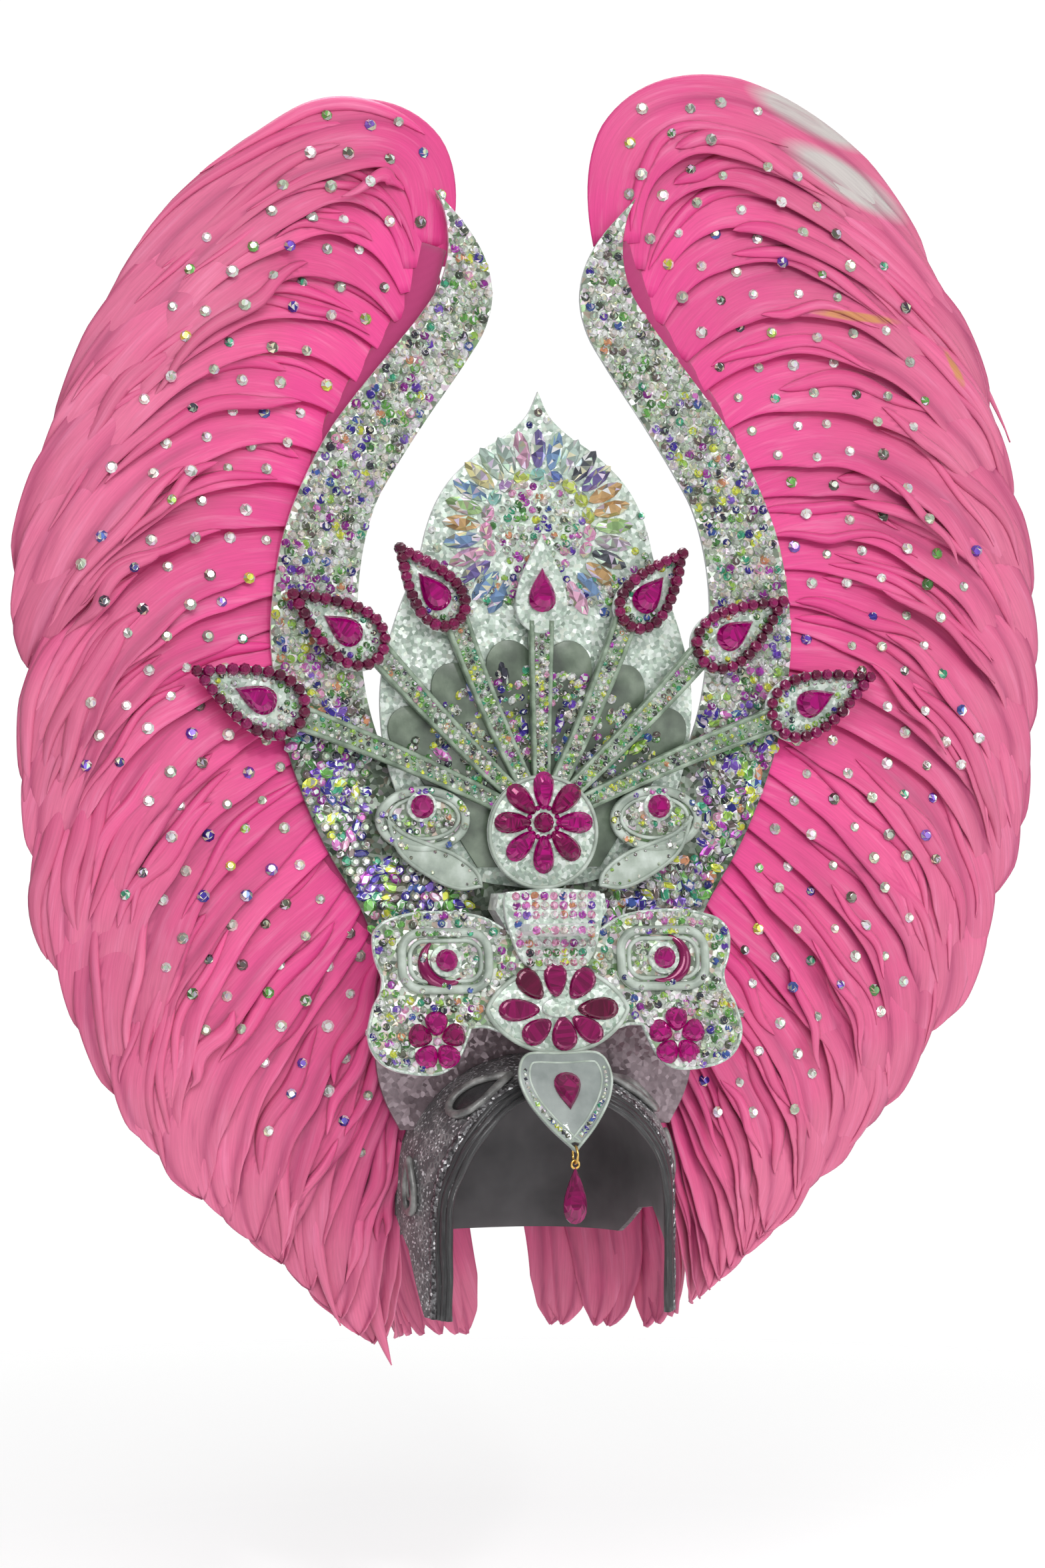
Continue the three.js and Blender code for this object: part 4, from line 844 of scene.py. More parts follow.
wings = {
    "right": [
        [55, 512, 98, 250, 552, -40, 0.62, 54], [74, 464, 60, 284, 472, -56, 0.5, 56],
        [124, 396, 40, 314, 395, -66, 0.42, 58], [150, 325, 18, 332, 300, -80, 0.4, 60],
        [160, 263, 2, 338, 200, -90, 0.4, 60], [149, 197, -14, 318, 100, -98, 0.4, 60],
        [130, 135, -32, 276, 14, -112, 0.4, 58], [104, 84, -52, 212, -64, -120, 0.38, 54],
        [92, 40, -72, 158, -122, -118, 0.36, 50], [97, -8, -80, 122, -160, -108, 0.34, 46],
        [84, -40, -88, 108, -190, -102, 0.34, 40], [46, -48, -90, 44, -190, -98, 0.34, 46],
    ],
    "left": [
        [66, 506, 94, 238, 508, -62, 0.6, 52], [78, 462, 55, 268, 452, -62, 0.5, 54],
        [124, 396, 38, 300, 352, -72, 0.42, 56], [150, 325, 14, 322, 285, -84, 0.4, 58],
        [160, 263, -3, 312, 190, -90, 0.4, 58], [149, 197, -18, 300, 82, -98, 0.4, 58],
        [130, 135, -34, 264, -8, -112, 0.4, 56], [104, 84, -54, 218, -78, -118, 0.38, 52],
        [92, 40, -72, 158, -128, -112, 0.36, 50], [97, -8, -80, 100, -182, -106, 0.34, 46],
        [84, -40, -88, 60, -188, -105, 0.34, 40], [46, -48, -90, 10, -194, -108, 0.34, 46],
    ],
    # how far back the root and tip lie, how far the blade puffs forward, and its roll
    "depth": [
        [-4, 40, 6, 11], [-4, 40, 6, 11], [-4, 38, 6, 11], [-4, 32, 4, 11], [-4, 20, 4, 11], [-4, 20, 4, 11],
        [-4, 26, 4, 11], [-3, 22, 6, 11], [0, 6, 10, 13], [16, 0, 20, 20], [86, 0, 88, 122], [116, 0, 118, 170],
    ],
    # how much further down the wing each tip is laid than its root's own row
    "sweep": [1.0, 1.0, 1.0, 0.95, 0.9, 0.85, 0.8, 0.6, 0.35, 0.1, 0, 0],
    "parts": {"upper": (0, 3.4, 12), "middle": (3.7, 7.1, 12), "lower": (7.35, 11, 17)},
    "shares": ([0, 0.2, 0.5, 0.78, 0.92, 1], [0.5, 0.86, 1.0, 0.8, 0.5, 0.2]),
    "steps": (54, 28), "thickness": 1.1, "crown": 2.2, "edgeLift": 2.2, "folds": 1.2,
    "strap": (20, 7, 0.12), "strands": 3, "strandSteps": (26, 7),
    # loose pointed ends at the outline: side, the row they lie on, how far they reach past it, width, bend
    "strays": {
        "right": [(0.75, 30, 11, 16), (2.6, 8, 9, -6)],
        "left": [(3.1, 9, 10, 8), (8.0, 26, 12, -10), (9.0, 16, 16, -8)],
    },
    # pale places on the right wing's top: middle x and z, half length, half width, turn in degrees
    "greyPlaces": [(184, 598, 48, 12, -22), (208, 558, 52, 13, -26)],
    "ochrePlaces": [(212, 470, 34, 3.4, -4), (282, 440, 16, 3.4, -62)],
}


def fromTable(table, place):
    row = min(int(place), len(table) - 2)
    share = place - row
    return [a + (b - a) * share for a, b in zip(table[row], table[row + 1])]


def headingOf(degrees):
    return np.array([math.cos(math.radians(degrees)), 0, math.sin(math.radians(degrees))])


# Middle line, its direction, the way across and the way out of a feather at each share of its length
def quill(side, place, shares, ways=(0, 0, 0, 1)):
    rootOut, rootZ, start, _, _, _, arch, width = fromTable(wings[side], place)
    rootY, puff, _, roll = fromTable(wings["depth"], place)
    along, askew, rolled, wider = ways
    start, roll, width = start + askew, roll + rolled, width * wider
    further = min(max(place + fromTable([[s] for s in wings["sweep"]], place)[0] + along, 0), 11)
    tipOut, tipZ, end = fromTable(wings[side], further)[3:6]
    tipY = fromTable(wings["depth"], further)[2]
    root, tip = np.array([rootOut, rootY, rootZ]), np.array([tipOut, tipY, tipZ])
    reach = np.linalg.norm(tip - root) * arch
    leaving = root + headingOf(start) * reach
    arriving = tip - headingOf(end) * reach
    arriving[1] -= puff
    t = np.asarray(shares)[:, None]
    line = (1 - t) ** 3 * root + 3 * (1 - t) ** 2 * t * leaving + 3 * (1 - t) * t**2 * arriving + t**3 * tip
    heading = 3 * (1 - t) ** 2 * (leaving - root) + 6 * (1 - t) * t * (arriving - leaving)
    heading = heading + 3 * t**2 * (tip - arriving)
    upper = np.stack([-heading[:, 2], np.zeros(len(t)), heading[:, 0]], axis=1)
    upper /= np.linalg.norm(upper, axis=1)[:, None]
    back = np.array([0, 1, 0])
    turn = math.radians(roll)
    across = upper * math.cos(turn) + back * math.sin(turn)
    out = upper * math.sin(turn) - back * math.cos(turn)
    return line, across, out, width


# Points laid off a line: so far across it and so far out
def ruled(line, across, far, out, rise):
    return line[:, None, :] + across[:, None, :] * far[:, :, None] + out[:, None, :] * rise[:, :, None]


# Colours of a grid of points: a red part, and a blue one drawn for the whole grid
def layerOf(shape, red, rng=None):
    layer = np.zeros((*shape, 4))
    layer[..., 0] = red
    layer[..., 2] = rng.uniform(0, 1) if rng else 0
    layer[..., 3] = 1
    return layer


def featherBlade(side, place, rng, lift=0):
    down, wide = wings["steps"]
    t = np.linspace(0, 1, down)
    s = np.linspace(-1, 1, wide)
    free = 1 if place < 8.2 else 0.3
    along, askew, rolled = (rng.uniform(-most, most) * free for most in (0.3, 5, 2.5))
    ways = (along, askew, rolled, rng.uniform(0.86, 1.24))
    line, across, out, width = quill(side, place, t, ways)
    share = np.interp(t, *wings["shares"])
    share *= np.sqrt(np.clip(1 - (np.clip(t - 0.9, 0, 1) / 0.1) ** 2.2, 0.0004, 1))
    phase = rng.uniform(0, 6.28, 6)
    lowEdge = 1 + 0.05 * np.sin(7 * t + phase[0]) + 0.03 * np.sin(19 * t + phase[1])
    highEdge = 1 + 0.04 * np.sin(6 * t + phase[2])
    half = width / 2 * share
    edge = np.where(s[None, :] < 0, lowEdge[:, None], highEdge[:, None]) * half[:, None]
    fade = np.clip((t - 0.14) / 0.3, 0, 1)[:, None]
    wander = s[None, :] + 0.1 * np.sin(4.2 * t + phase[3])[:, None] + rng.uniform(-0.22, 0.22) * t[:, None]
    count = rng.choice([1.5, 2.0, 2.5])
    wave = np.abs(np.sin(math.pi * count / 2 * wander + phase[4]))
    valley = (1 - wave) ** 2.2
    swell = np.sin(3.1 * t + phase[5])[:, None] * 0.8
    rise = (wings["crown"] * (1 - s[None, :] ** 2) + swell) * share[:, None] - wings["folds"] * valley * fade
    rise += wings["edgeLift"] * np.clip(-s[None, :], 0, 1) ** 3 * np.clip(t / 0.25, 0, 1)[:, None] + lift
    points = ruled(line, across, s[None, :] * edge, out, rise)
    run = np.concatenate([[0], np.cumsum(np.linalg.norm(np.diff(line, axis=0), axis=1))])
    uv = [np.repeat(run[:, None], wide, 1) * mm + place, s[None, :] * half[:, None] * mm + place * 0.37]
    uv = np.stack(uv, axis=2)
    # The shade layer's red is painted shade in the valleys of the folds
    return points, uv, layerOf((down, wide), t[:, None]), layerOf((down, wide), valley * fade * 0.75, rng), out


# UV and colours of a narrow ribbon: t is the share of the feather's length, u goes across it
def ribbonLook(t, u, half, place, rng):
    along = np.repeat(t[:, None], len(u), 1) * 0.25 + place
    across = u[None, :] * half[:, None] * mm + place * 0.7
    shape = along.shape
    return np.stack([along, across], axis=2), layerOf(shape, t[:, None]), layerOf(shape, 0, rng)


# A narrow strand that wanders over a feather, pointed at both ends
def strandOn(points, out, place, rng):
    count, wide = wings["strandSteps"]
    first = rng.uniform(0.02, 0.5)
    last = min(first + rng.uniform(0.34, 0.62), 0.985)
    run = np.linspace(0, 1, count)
    t = first + (last - first) * run
    rows = t * (len(points) - 1)
    low = np.minimum(rows.astype(int), len(points) - 2)
    mix = (rows - low)[:, None, None]
    line = points[low] * (1 - mix) + points[low + 1] * mix
    outward = out[low]
    reach = (line[:, -1] - line[:, 0]) / 2
    half = rng.uniform(2.6, 6.5) * np.sin(math.pi * run**0.8) ** 0.7 + 0.15
    middle = rng.uniform(-1.15, 0.7) + rng.uniform(-0.5, 0.5) * run + 0.08 * np.sin(9 * run + rng.uniform(0, 6))
    u = np.linspace(-1, 1, wide)
    s = middle[:, None] + u[None, :] * (half / np.linalg.norm(reach, axis=1))[:, None]
    held = np.clip(s, -1, 1)
    column = (held + 1) / 2 * (line.shape[1] - 1)
    left = np.minimum(column.astype(int), line.shape[1] - 2)
    mix = (column - left)[:, :, None]
    index = np.arange(count)[:, None]
    spots = line[index, left] * (1 - mix) + line[index, left + 1] * mix
    spots = spots + (s - held)[:, :, None] * reach[:, None, :]
    rise = 0.5 + (1.5 + 0.12 * half[:, None]) * (1 - u[None, :] ** 2) * np.clip(half[:, None] / 3, 0.1, 1)
    spots = spots + outward[:, None, :] * rise[:, :, None]
    return spots, *ribbonLook(t, u, half, place, rng), outward


# A loose end that leaves the outline and comes to a point
def strayAt(side, place, past, width, bend, rng):
    count, wide = wings["strandSteps"]
    t = np.linspace(0.45, 1, count)
    line, across, out, _ = quill(side, place, t)
    run = np.linspace(0, 1, count)[:, None]
    leaving = line[-1] - line[-2]
    leaving /= np.linalg.norm(leaving)
    line = line + leaving * past * run**2 + across * bend * run**1.5
    half = width / 2 * np.clip(1 - run[:, 0] ** 2.4, 0.02, 1) ** 0.8 * np.clip(run[:, 0] * 5 + 0.1, 0, 1)
    u = np.linspace(-1, 1, wide)
    rise = 3.2 + 2.0 * (1 - u[None, :] ** 2) * np.clip(half[:, None] / 3, 0.1, 1)
    spots = ruled(line, across, u[None, :] * half[:, None], out, rise)
    return spots, *ribbonLook(t, u, half, place, rng), out


def addColours(piece, name, values):
    layer = piece.data.color_attributes.new(name, "FLOAT_COLOR", "POINT")
    layer.data.foreach_set("color", np.asarray(values, dtype=float).ravel())


# Painted shadow: darkens what lies under the edge of the feather above it, through the green of featherShade
def shadeUnderEdges(pieces):
    surface = surfaceOf(*pieces)
    for piece in pieces:
        layer = piece.data.color_attributes["featherShade"]
        values = np.empty(len(piece.data.vertices) * 4)
        layer.data.foreach_get("color", values)
        values = values.reshape(-1, 4)
        upper = piece["across"]
        count = len(piece.data.vertices) // len(upper)
        reach = 0.009
        for index, vertex in enumerate(piece.data.vertices):
            up = Vector(upper[index // count])
            shade = 0
            for way in (up * 0.75 + Vector((0, -0.66, 0)), up * 0.35 + Vector((0, -0.94, 0))):
                start = vertex.co + way * 0.0006
                hit = surface.ray_cast(start, way, reach)
                if hit[0] is not None:
                    shade += 0.5 * (1 - hit[3] / reach) + 0.1
            values[index, 1] = min(shade, 1)
        layer.data.foreach_set("color", values.ravel())


def inPlaces(places, x, z):
    best = 0.0
    for midX, midZ, long, wide, turn in places:
        c, s = math.cos(math.radians(turn)), math.sin(math.radians(turn))
        dx, dz = x - midX, z - midZ
        away = math.hypot((dx * c + dz * s) / long, (dz * c - dx * s) / wide)
        best = max(best, 1 - away / 1.6)
    return best


def rootStrap(side, first, last):
    wide, high, overhang = wings["strap"]
    places = np.linspace(max(first - overhang, 0), min(last + overhang, 11), 26)
    table = wings["depth"]

    def rootAt(place):
        place = min(max(place, 0), 11)
        x, z = fromTable(wings[side], place)[:2]
        return Vector((x, fromTable(table, place)[0], z))

    rows, uv = [], []
    for k, place in enumerate(places):
        run = (rootAt(place + 0.3) - rootAt(place - 0.3)).normalized()
        turned = math.radians(fromTable(table, place)[3] - table[0][3])
        outward = Vector((math.sin(turned), -math.cos(turned), 0))
        across = run.cross(outward).normalized()
        face = across.cross(run)
        rows.append([rootAt(place) + across * a + face * b for a, b in roundSection(wide / 2, high / 2, 14)])
        uv.append([(k * 0.01, j / 14) for j in range(15)])
    if side == "left":
        rows = [[Vector((-p.x, p.y, p.z)) for p in row] for row in rows]
    return painted(capEnds(shapedGrid("strap", rows, uv, close=True)), "strapCloth")


# One grid of points of a wing as a mesh, facing out, with its colours
def featherPiece(side, place, points, uv, colour, shade, out):
    if side == "right" and place < 3:
        for channel, places in ((1, wings["ochrePlaces"]), (2, wings["greyPlaces"])):
            share = [inPlaces(places, x, z) for x, z in points[..., (0, 2)].reshape(-1, 2)]
            colour[..., channel] = np.reshape(share, points.shape[:2])
    if side == "left":
        points, out = points * np.array([-1, 1, 1]), out * np.array([-1, 1, 1])
    piece = shapedGrid("blade", points, uv)
    normals = np.array([v.normal[:] for v in piece.data.vertices]).reshape(points.shape)
    if (normals[:, points.shape[1] // 2] * out).sum() < 0:
        piece.data.flip_normals()
    addColours(piece, "featherPlace", colour)
    addColours(piece, "featherShade", shade)
    across = points[:, -1] - points[:, 0]
    across /= np.linalg.norm(across, axis=1)[:, None] + 1e-9
    piece["across"] = [list(map(float, row)) for row in across]
    return piece


def makeWing(side):
    built = {}
    for part, (first, last, count) in wings["parts"].items():
        built[part] = []
        for k in range(count):
            place = first + (last - first) * k / (count - 1)
            rng = np.random.default_rng(int(place * 100) + (7 if side == "left" else 3))
            blade = featherBlade(side, place, rng, lift=0.5 if k % 2 else 0)
            built[part].append(featherPiece(side, place, *blade))
            for _ in range(wings["strands"] if place < 9.3 else 0):
                built[part].append(featherPiece(side, place, *strandOn(blade[0], blade[4], place, rng)))
        for place, past, width, bend in wings["strays"][side]:
            if first <= place <= last:
                stray = strayAt(side, place, past, width, bend, np.random.default_rng(5))
                built[part].append(featherPiece(side, place, *stray))
    shadeUnderEdges([piece for pieces in built.values() for piece in pieces])
    finished = []
    for part, pieces in built.items():
        for piece in pieces:
            del piece["across"]
            painted(piece, "pinkFeather")
        node = f"wing_{side}_{part}"
        wing = merged(node + "_feathers", pieces)
        wall = wing.modifiers.new("wall", "SOLIDIFY")
        wall.thickness = wings["thickness"] * mm
        wall.offset = -1
        applyModifiers(wing)
        first, last, _ = wings["parts"][part]
        wing = merged(node + "_feathers", [wing, rootStrap(side, first, last)])
        dress(wing, None, "pink_feather", replacing=[node])
        finished.append(wing)
    return finished


# Crystals set on the feathers
wingCrystals = {"size": 7.6, "pitch": 25.0, "fromShare": 0.07, "toShare": 0.66, "lastPlace": 8.4, "steps": 40,
                "box": (60, -60.0, 330, 620), "jitter": 4, "offQuill": 14, "sparseFrom": 0.5, "leftOut": 0.35}


def setWingCrystals(side, pieces, seed):
    surface = surfaceOf(*pieces)
    rng = random.Random(seed)
    lines = []
    for first, last, count in wings["parts"].values():
        for k in range(count):
            place = first + (last - first) * k / (count - 1)
            if place < wingCrystals["lastPlace"]:
                lines.append(quill(side, place, np.linspace(0, 1, wingCrystals["steps"]))[0])
    lines = np.array(lines)
    sign = -1 if side == "left" else 1
    places, colours = [], []
    pitch, jitter = wingCrystals["pitch"], wingCrystals["jitter"]
    lowX, lowZ, highX, highZ = wingCrystals["box"]
    row = 0
    z = lowZ
    while z < highZ:
        x = lowX + (pitch / 2 if row % 2 else 0)
        while x < highX:
            px, pz = x + rng.uniform(-jitter, jitter), z + rng.uniform(-jitter, jitter)
            x += pitch
            away = np.hypot(lines[..., 0] - px, lines[..., 2] - pz)
            nearest = np.unravel_index(np.argmin(away), away.shape)
            share = nearest[1] / (wingCrystals["steps"] - 1)
            if away[nearest] > wingCrystals["offQuill"]:
                continue
            if not wingCrystals["fromShare"] < share < wingCrystals["toShare"]:
                continue
            if share > wingCrystals["sparseFrom"] and rng.random() < wingCrystals["leftOut"]:
                continue
            spot, normal = seat(surface, sign * px, pz)
            if spot is None or normal.y > -0.3:
                continue
            size = wingCrystals["size"] * rng.uniform(0.82, 1.08)
            places.append((spot, normal, rng.uniform(0, 45), size))
            colours.append(mixedColour(rng, {"pale": 6, "dark": 1.2, "leaf": 1, "cool": 0.8}))
        z += pitch * 0.8
        row += 1
    setStones(f"wing_crystals_{side}", "round", places, colours, "clear", seed, 0.3, accents=accents)
    print("crystals on the", side, "wing:", len(places))


for wingSide, wingSeed in (("left", 11), ("right", 23)):
    setWingCrystals(wingSide, makeWing(wingSide), wingSeed)


# Tall frame and the pointed panel between its horns

panels = {"stoneSize": 6.1, "stonePitch": 6.3, "clothBelow": 36, "flakesFrom": 60, "flakesTo": 215}


def hornColour(rng, x, z):
    side = abs(x)
    # rows of deep stones across the horns, lighter between them
    band = math.sin(x * 0.42 + z * 0.16) * math.sin(z * 0.33 - x * 0.12)
    if z > 420:
        weights = {"pale": 8, "dark": 1.6, "leaf": 1.4, "cool": 0.4 + (1.6 if band > 0.55 else 0), "warm": 0.7}
    elif z > 300:
        weights = {"pale": 6, "dark": 1.2, "leaf": 2, "cool": 0.8 + (5 if band > 0.4 else 0), "warm": 1}
    elif z > 200:
        weights = {"pale": 6, "dark": 0.8, "leaf": 1.6, "cool": 1 + (3 if band > 0.4 else 0), "warm": 2.2}
    else:
        weights = {"pale": 4, "dark": 1.6, "leaf": 2.2, "cool": 2.0, "warm": 1.8}
    if side > 130 and z < 320:
        weights["warm"] += 2
    return mixedColour(rng, weights)


# Whether a place on the tall frame is clear of the fan and of the waist, and above its cloth
def inSight(x, z):
    behindFan = abs(x) < 108 and 124 < z < 246
    behindWaist = abs(x) < 42 and z < 130
    return not (behindFan or behindWaist or z < panels["clothBelow"])


def makePanels():
    lyre, _ = boardFrom("lyre_plate")
    lyre.name = "lyre_board"
    dress(lyre, "frameBoard", "glitter_board", replacing=["lyre_plate"])
    ogive, _ = boardFrom("ogive_plate")
    ogive.name = "ogive_board"
    dress(ogive, "silverBoard", "silver_board", replacing=["ogive_plate"])
    surface = surfaceOf(lyre)
    seats = fieldSeats(surface, (-170, 40, 170, 630), panels["stonePitch"], 2.3, 5, accept=inSight)
    rng = random.Random(8)
    places, colours = [], []
    chunks, chunkColours = [], []
    for spot, normal, x, z in seats:
        if panels["flakesFrom"] < z < panels["flakesTo"] and rng.random() < 0.5:
            chunks.append((spot, normal, rng.uniform(0, 180), (rng.uniform(8, 13), rng.uniform(4.5, 8.5), 3.4)))
            kind = rng.choice(["leaf", "cool", "warm", "cool", "leaf", "dark"])
            chunkColours.append(paint(*rng.choice(stonePaints[kind])))
            continue
        places.append((spot, normal, rng.uniform(0, 45), panels["stoneSize"] * rng.uniform(0.9, 1.04)))
        colours.append(hornColour(rng, x, z))
    setStones("horn_stones", "round", places, colours, "clear", 31, 0.3, accents=accents)
    setStones("frame_flakes", "round", chunks, chunkColours, "clear", 32, 0.4, accents=accents[:4])
    print("stones on the frame:", len(places), "and", len(chunks))
    return lyre, ogive


frameBoard, ogiveBoard = makePanels()


# Horseshoe of marquise stones on the pointed panel, with round stones inside and chips round it

horseshoe = {"x": 0, "z": 330, "radius": 50, "stones": 25, "open": 62, "size": (25, 23, 19),
             "inner": 34, "outer": 66,
             "innerStones": 13, "innerTurn": (-22, 224), "outerStones": 30, "outerTurn": (-50, 280)}


def makeHorseshoe():
    rng = random.Random(4)
    surface = surfaceOf(ogiveBoard)
    paints = [(116, 104, 160), (196, 160, 112), (156, 190, 130), (222, 170, 196), (120, 150, 188), (214, 206, 150),
              (92, 96, 104), (206, 190, 206), (176, 196, 186), (134, 96, 104)]
    places, colours = [], []
    count = horseshoe["stones"]
    for i in range(count):
        angle = math.radians(-90 + horseshoe["open"] / 2 + (360 - horseshoe["open"]) * i / (count - 1))
        x = horseshoe["x"] + horseshoe["radius"] * math.cos(angle)
        z = horseshoe["z"] + horseshoe["radius"] * math.sin(angle)
        spot, normal = seat(surface, x, z)
        if spot is not None:
            places.append((spot, normal, math.degrees(angle), horseshoe["size"]))
            colours.append(paint(*rng.choice(paints)))
    setStones("marquise_ring", "marquise", places, colours, "clear", 41, 0.45,
              accents=accents, replacing=["marquise_horseshoe"])
    places, colours = [], []
    innerPaints = [(112, 132, 196), (226, 160, 196), (200, 214, 110), (188, 150, 206), (150, 200, 190)]
    count, (start, turn) = horseshoe["innerStones"], horseshoe["innerTurn"]
    for i in range(count):
        angle = math.radians(start + turn * i / (count - 1))
        x, z = horseshoe["inner"] * math.cos(angle), horseshoe["z"] + horseshoe["inner"] * math.sin(angle)
        spot, normal = seat(surface, x, z)
        places.append((spot, normal, math.degrees(angle), (8.5, 11.0, 9)))
        colours.append(paint(*rng.choice(innerPaints)))
    count, (start, turn) = horseshoe["outerStones"], horseshoe["outerTurn"]
    for i in range(count):
        angle = math.radians(start + turn * i / (count - 1))
        reach = horseshoe["outer"] + rng.uniform(-1, 5)
        spot, normal = seat(surface, reach * math.cos(angle), horseshoe["z"] + reach * math.sin(angle))
        if spot is not None:
            places.append((spot, normal, rng.uniform(0, 90), rng.uniform(4.5, 7)))
            colours.append(mixedColour(rng, {"pale": 3, "leaf": 2, "warm": 1, "cool": 1}))
    band = (horseshoe["inner"] + horseshoe["outer"]) / 2
    free = lambda x, z: z > 284 and abs(math.hypot(x, z - horseshoe["z"]) - band) > (20 if z > 300 else 0)
    seats = fieldSeats(surface, (-80, 284, 80, 424), 6.0, 2.3, 6, jitter=0.22, accept=free)
    for spot, normal, x, z in seats:
        tip = z > 404
        places.append((spot, normal, rng.uniform(0, 90), rng.uniform(4.6, 5.8)))
        inside = math.hypot(x, z - horseshoe["z"]) < band
        warm, dark = (2.4, 0.3) if inside else (0.5, 1.4)
        weights = {"pale": 5, "leaf": 2, "warm": warm, "cool": 0.7, "dark": dark}
        colours.append(mixedColour(rng, {"dark": 5, "leaf": 1} if tip else weights))
    setStones("panel_stones", "round", places, colours, "clear", 42, 0.36, accents=accents)


makeHorseshoe()


# Fan of stems, each with a teardrop head

stems = [
    {"name": "1", "base": (-150, 209), "tip": (-222, 240), "bend": 4},
    {"name": "2", "base": (-101, 248), "tip": (-162, 288), "bend": -3},
    {"name": "3", "base": (-53, 268), "tip": (-94, 318), "bend": -4},
    {"name": "4", "base": (0, 264), "tip": (0, 326), "bend": 0},
    {"name": "5", "base": (53, 268), "tip": (94, 318), "bend": 4},
    {"name": "6", "base": (101, 248), "tip": (162, 288), "bend": 3},
    {"name": "7", "base": (150, 209), "tip": (222, 240), "bend": -4},
]
fan = {"centre": (0, 146), "from": 23.8, "widths": (11, 16), "front": -24, "bead": 6.9, "beads": 23,
       "headWidth": 0.64, "stoneSize": 4.5, "edgeInset": 1.5, "chips": 84,
       "stoneBack": 4, "stoneSizes": (1.06, 1.22, 1.1),
       # rings of chips in a head: the first lies this far inside it, and the next ones further in
       "ringInset": 18.6, "ringStep": 8.8, "ringPitch": 5.2, "chipGap": 4.2, "clearOfStone": (15.4, 10.6)}


def stemLine(stem, count=26):
    centre, base = Vector(fan["centre"]), Vector(stem["base"])
    along = (base - centre).normalized()
    start, end = centre + along * fan["from"], base + along * 8
    middle = start.lerp(base, 0.55) + Vector((-along.y, along.x)) * -stem["bend"]
    shares = [i / (count - 1) for i in range(count)]
    return [start * (1 - t) ** 2 + middle * 2 * t * (1 - t) + end * t**2 for t in shares]


# The points of a line, each with the way across the line and the width there
def acrossLine(line, widths):
    last = len(line) - 1
    for i, point in enumerate(line):
        along = (line[min(i + 1, last)] - line[max(i - 1, 0)]).normalized()
        yield point, Vector((-along.y, along.x)), widths[0] + (widths[1] - widths[0]) * i / last


def stripLoop(line, widths):
    left = [tuple(point + across * width / 2) for point, across, width in acrossLine(line, widths)]
    right = [tuple(point - across * width / 2) for point, across, width in acrossLine(line, widths)]
    return left + right[::-1]


def beadRing(line, count):
    fine = [Vector(p) for p in line]
    runs = [0]
    for a, b in zip(fine, fine[1:] + fine[:1]):
        runs.append(runs[-1] + (b - a).length)
    result = []
    for k in range(count):
        want = runs[-1] * k / count
        i = max(j for j in range(len(fine)) if runs[j] <= want)
        share = (want - runs[i]) / max(runs[i + 1] - runs[i], 1e-6)
        result.append(tuple(fine[i].lerp(fine[(i + 1) % len(fine)], share)))
    return result


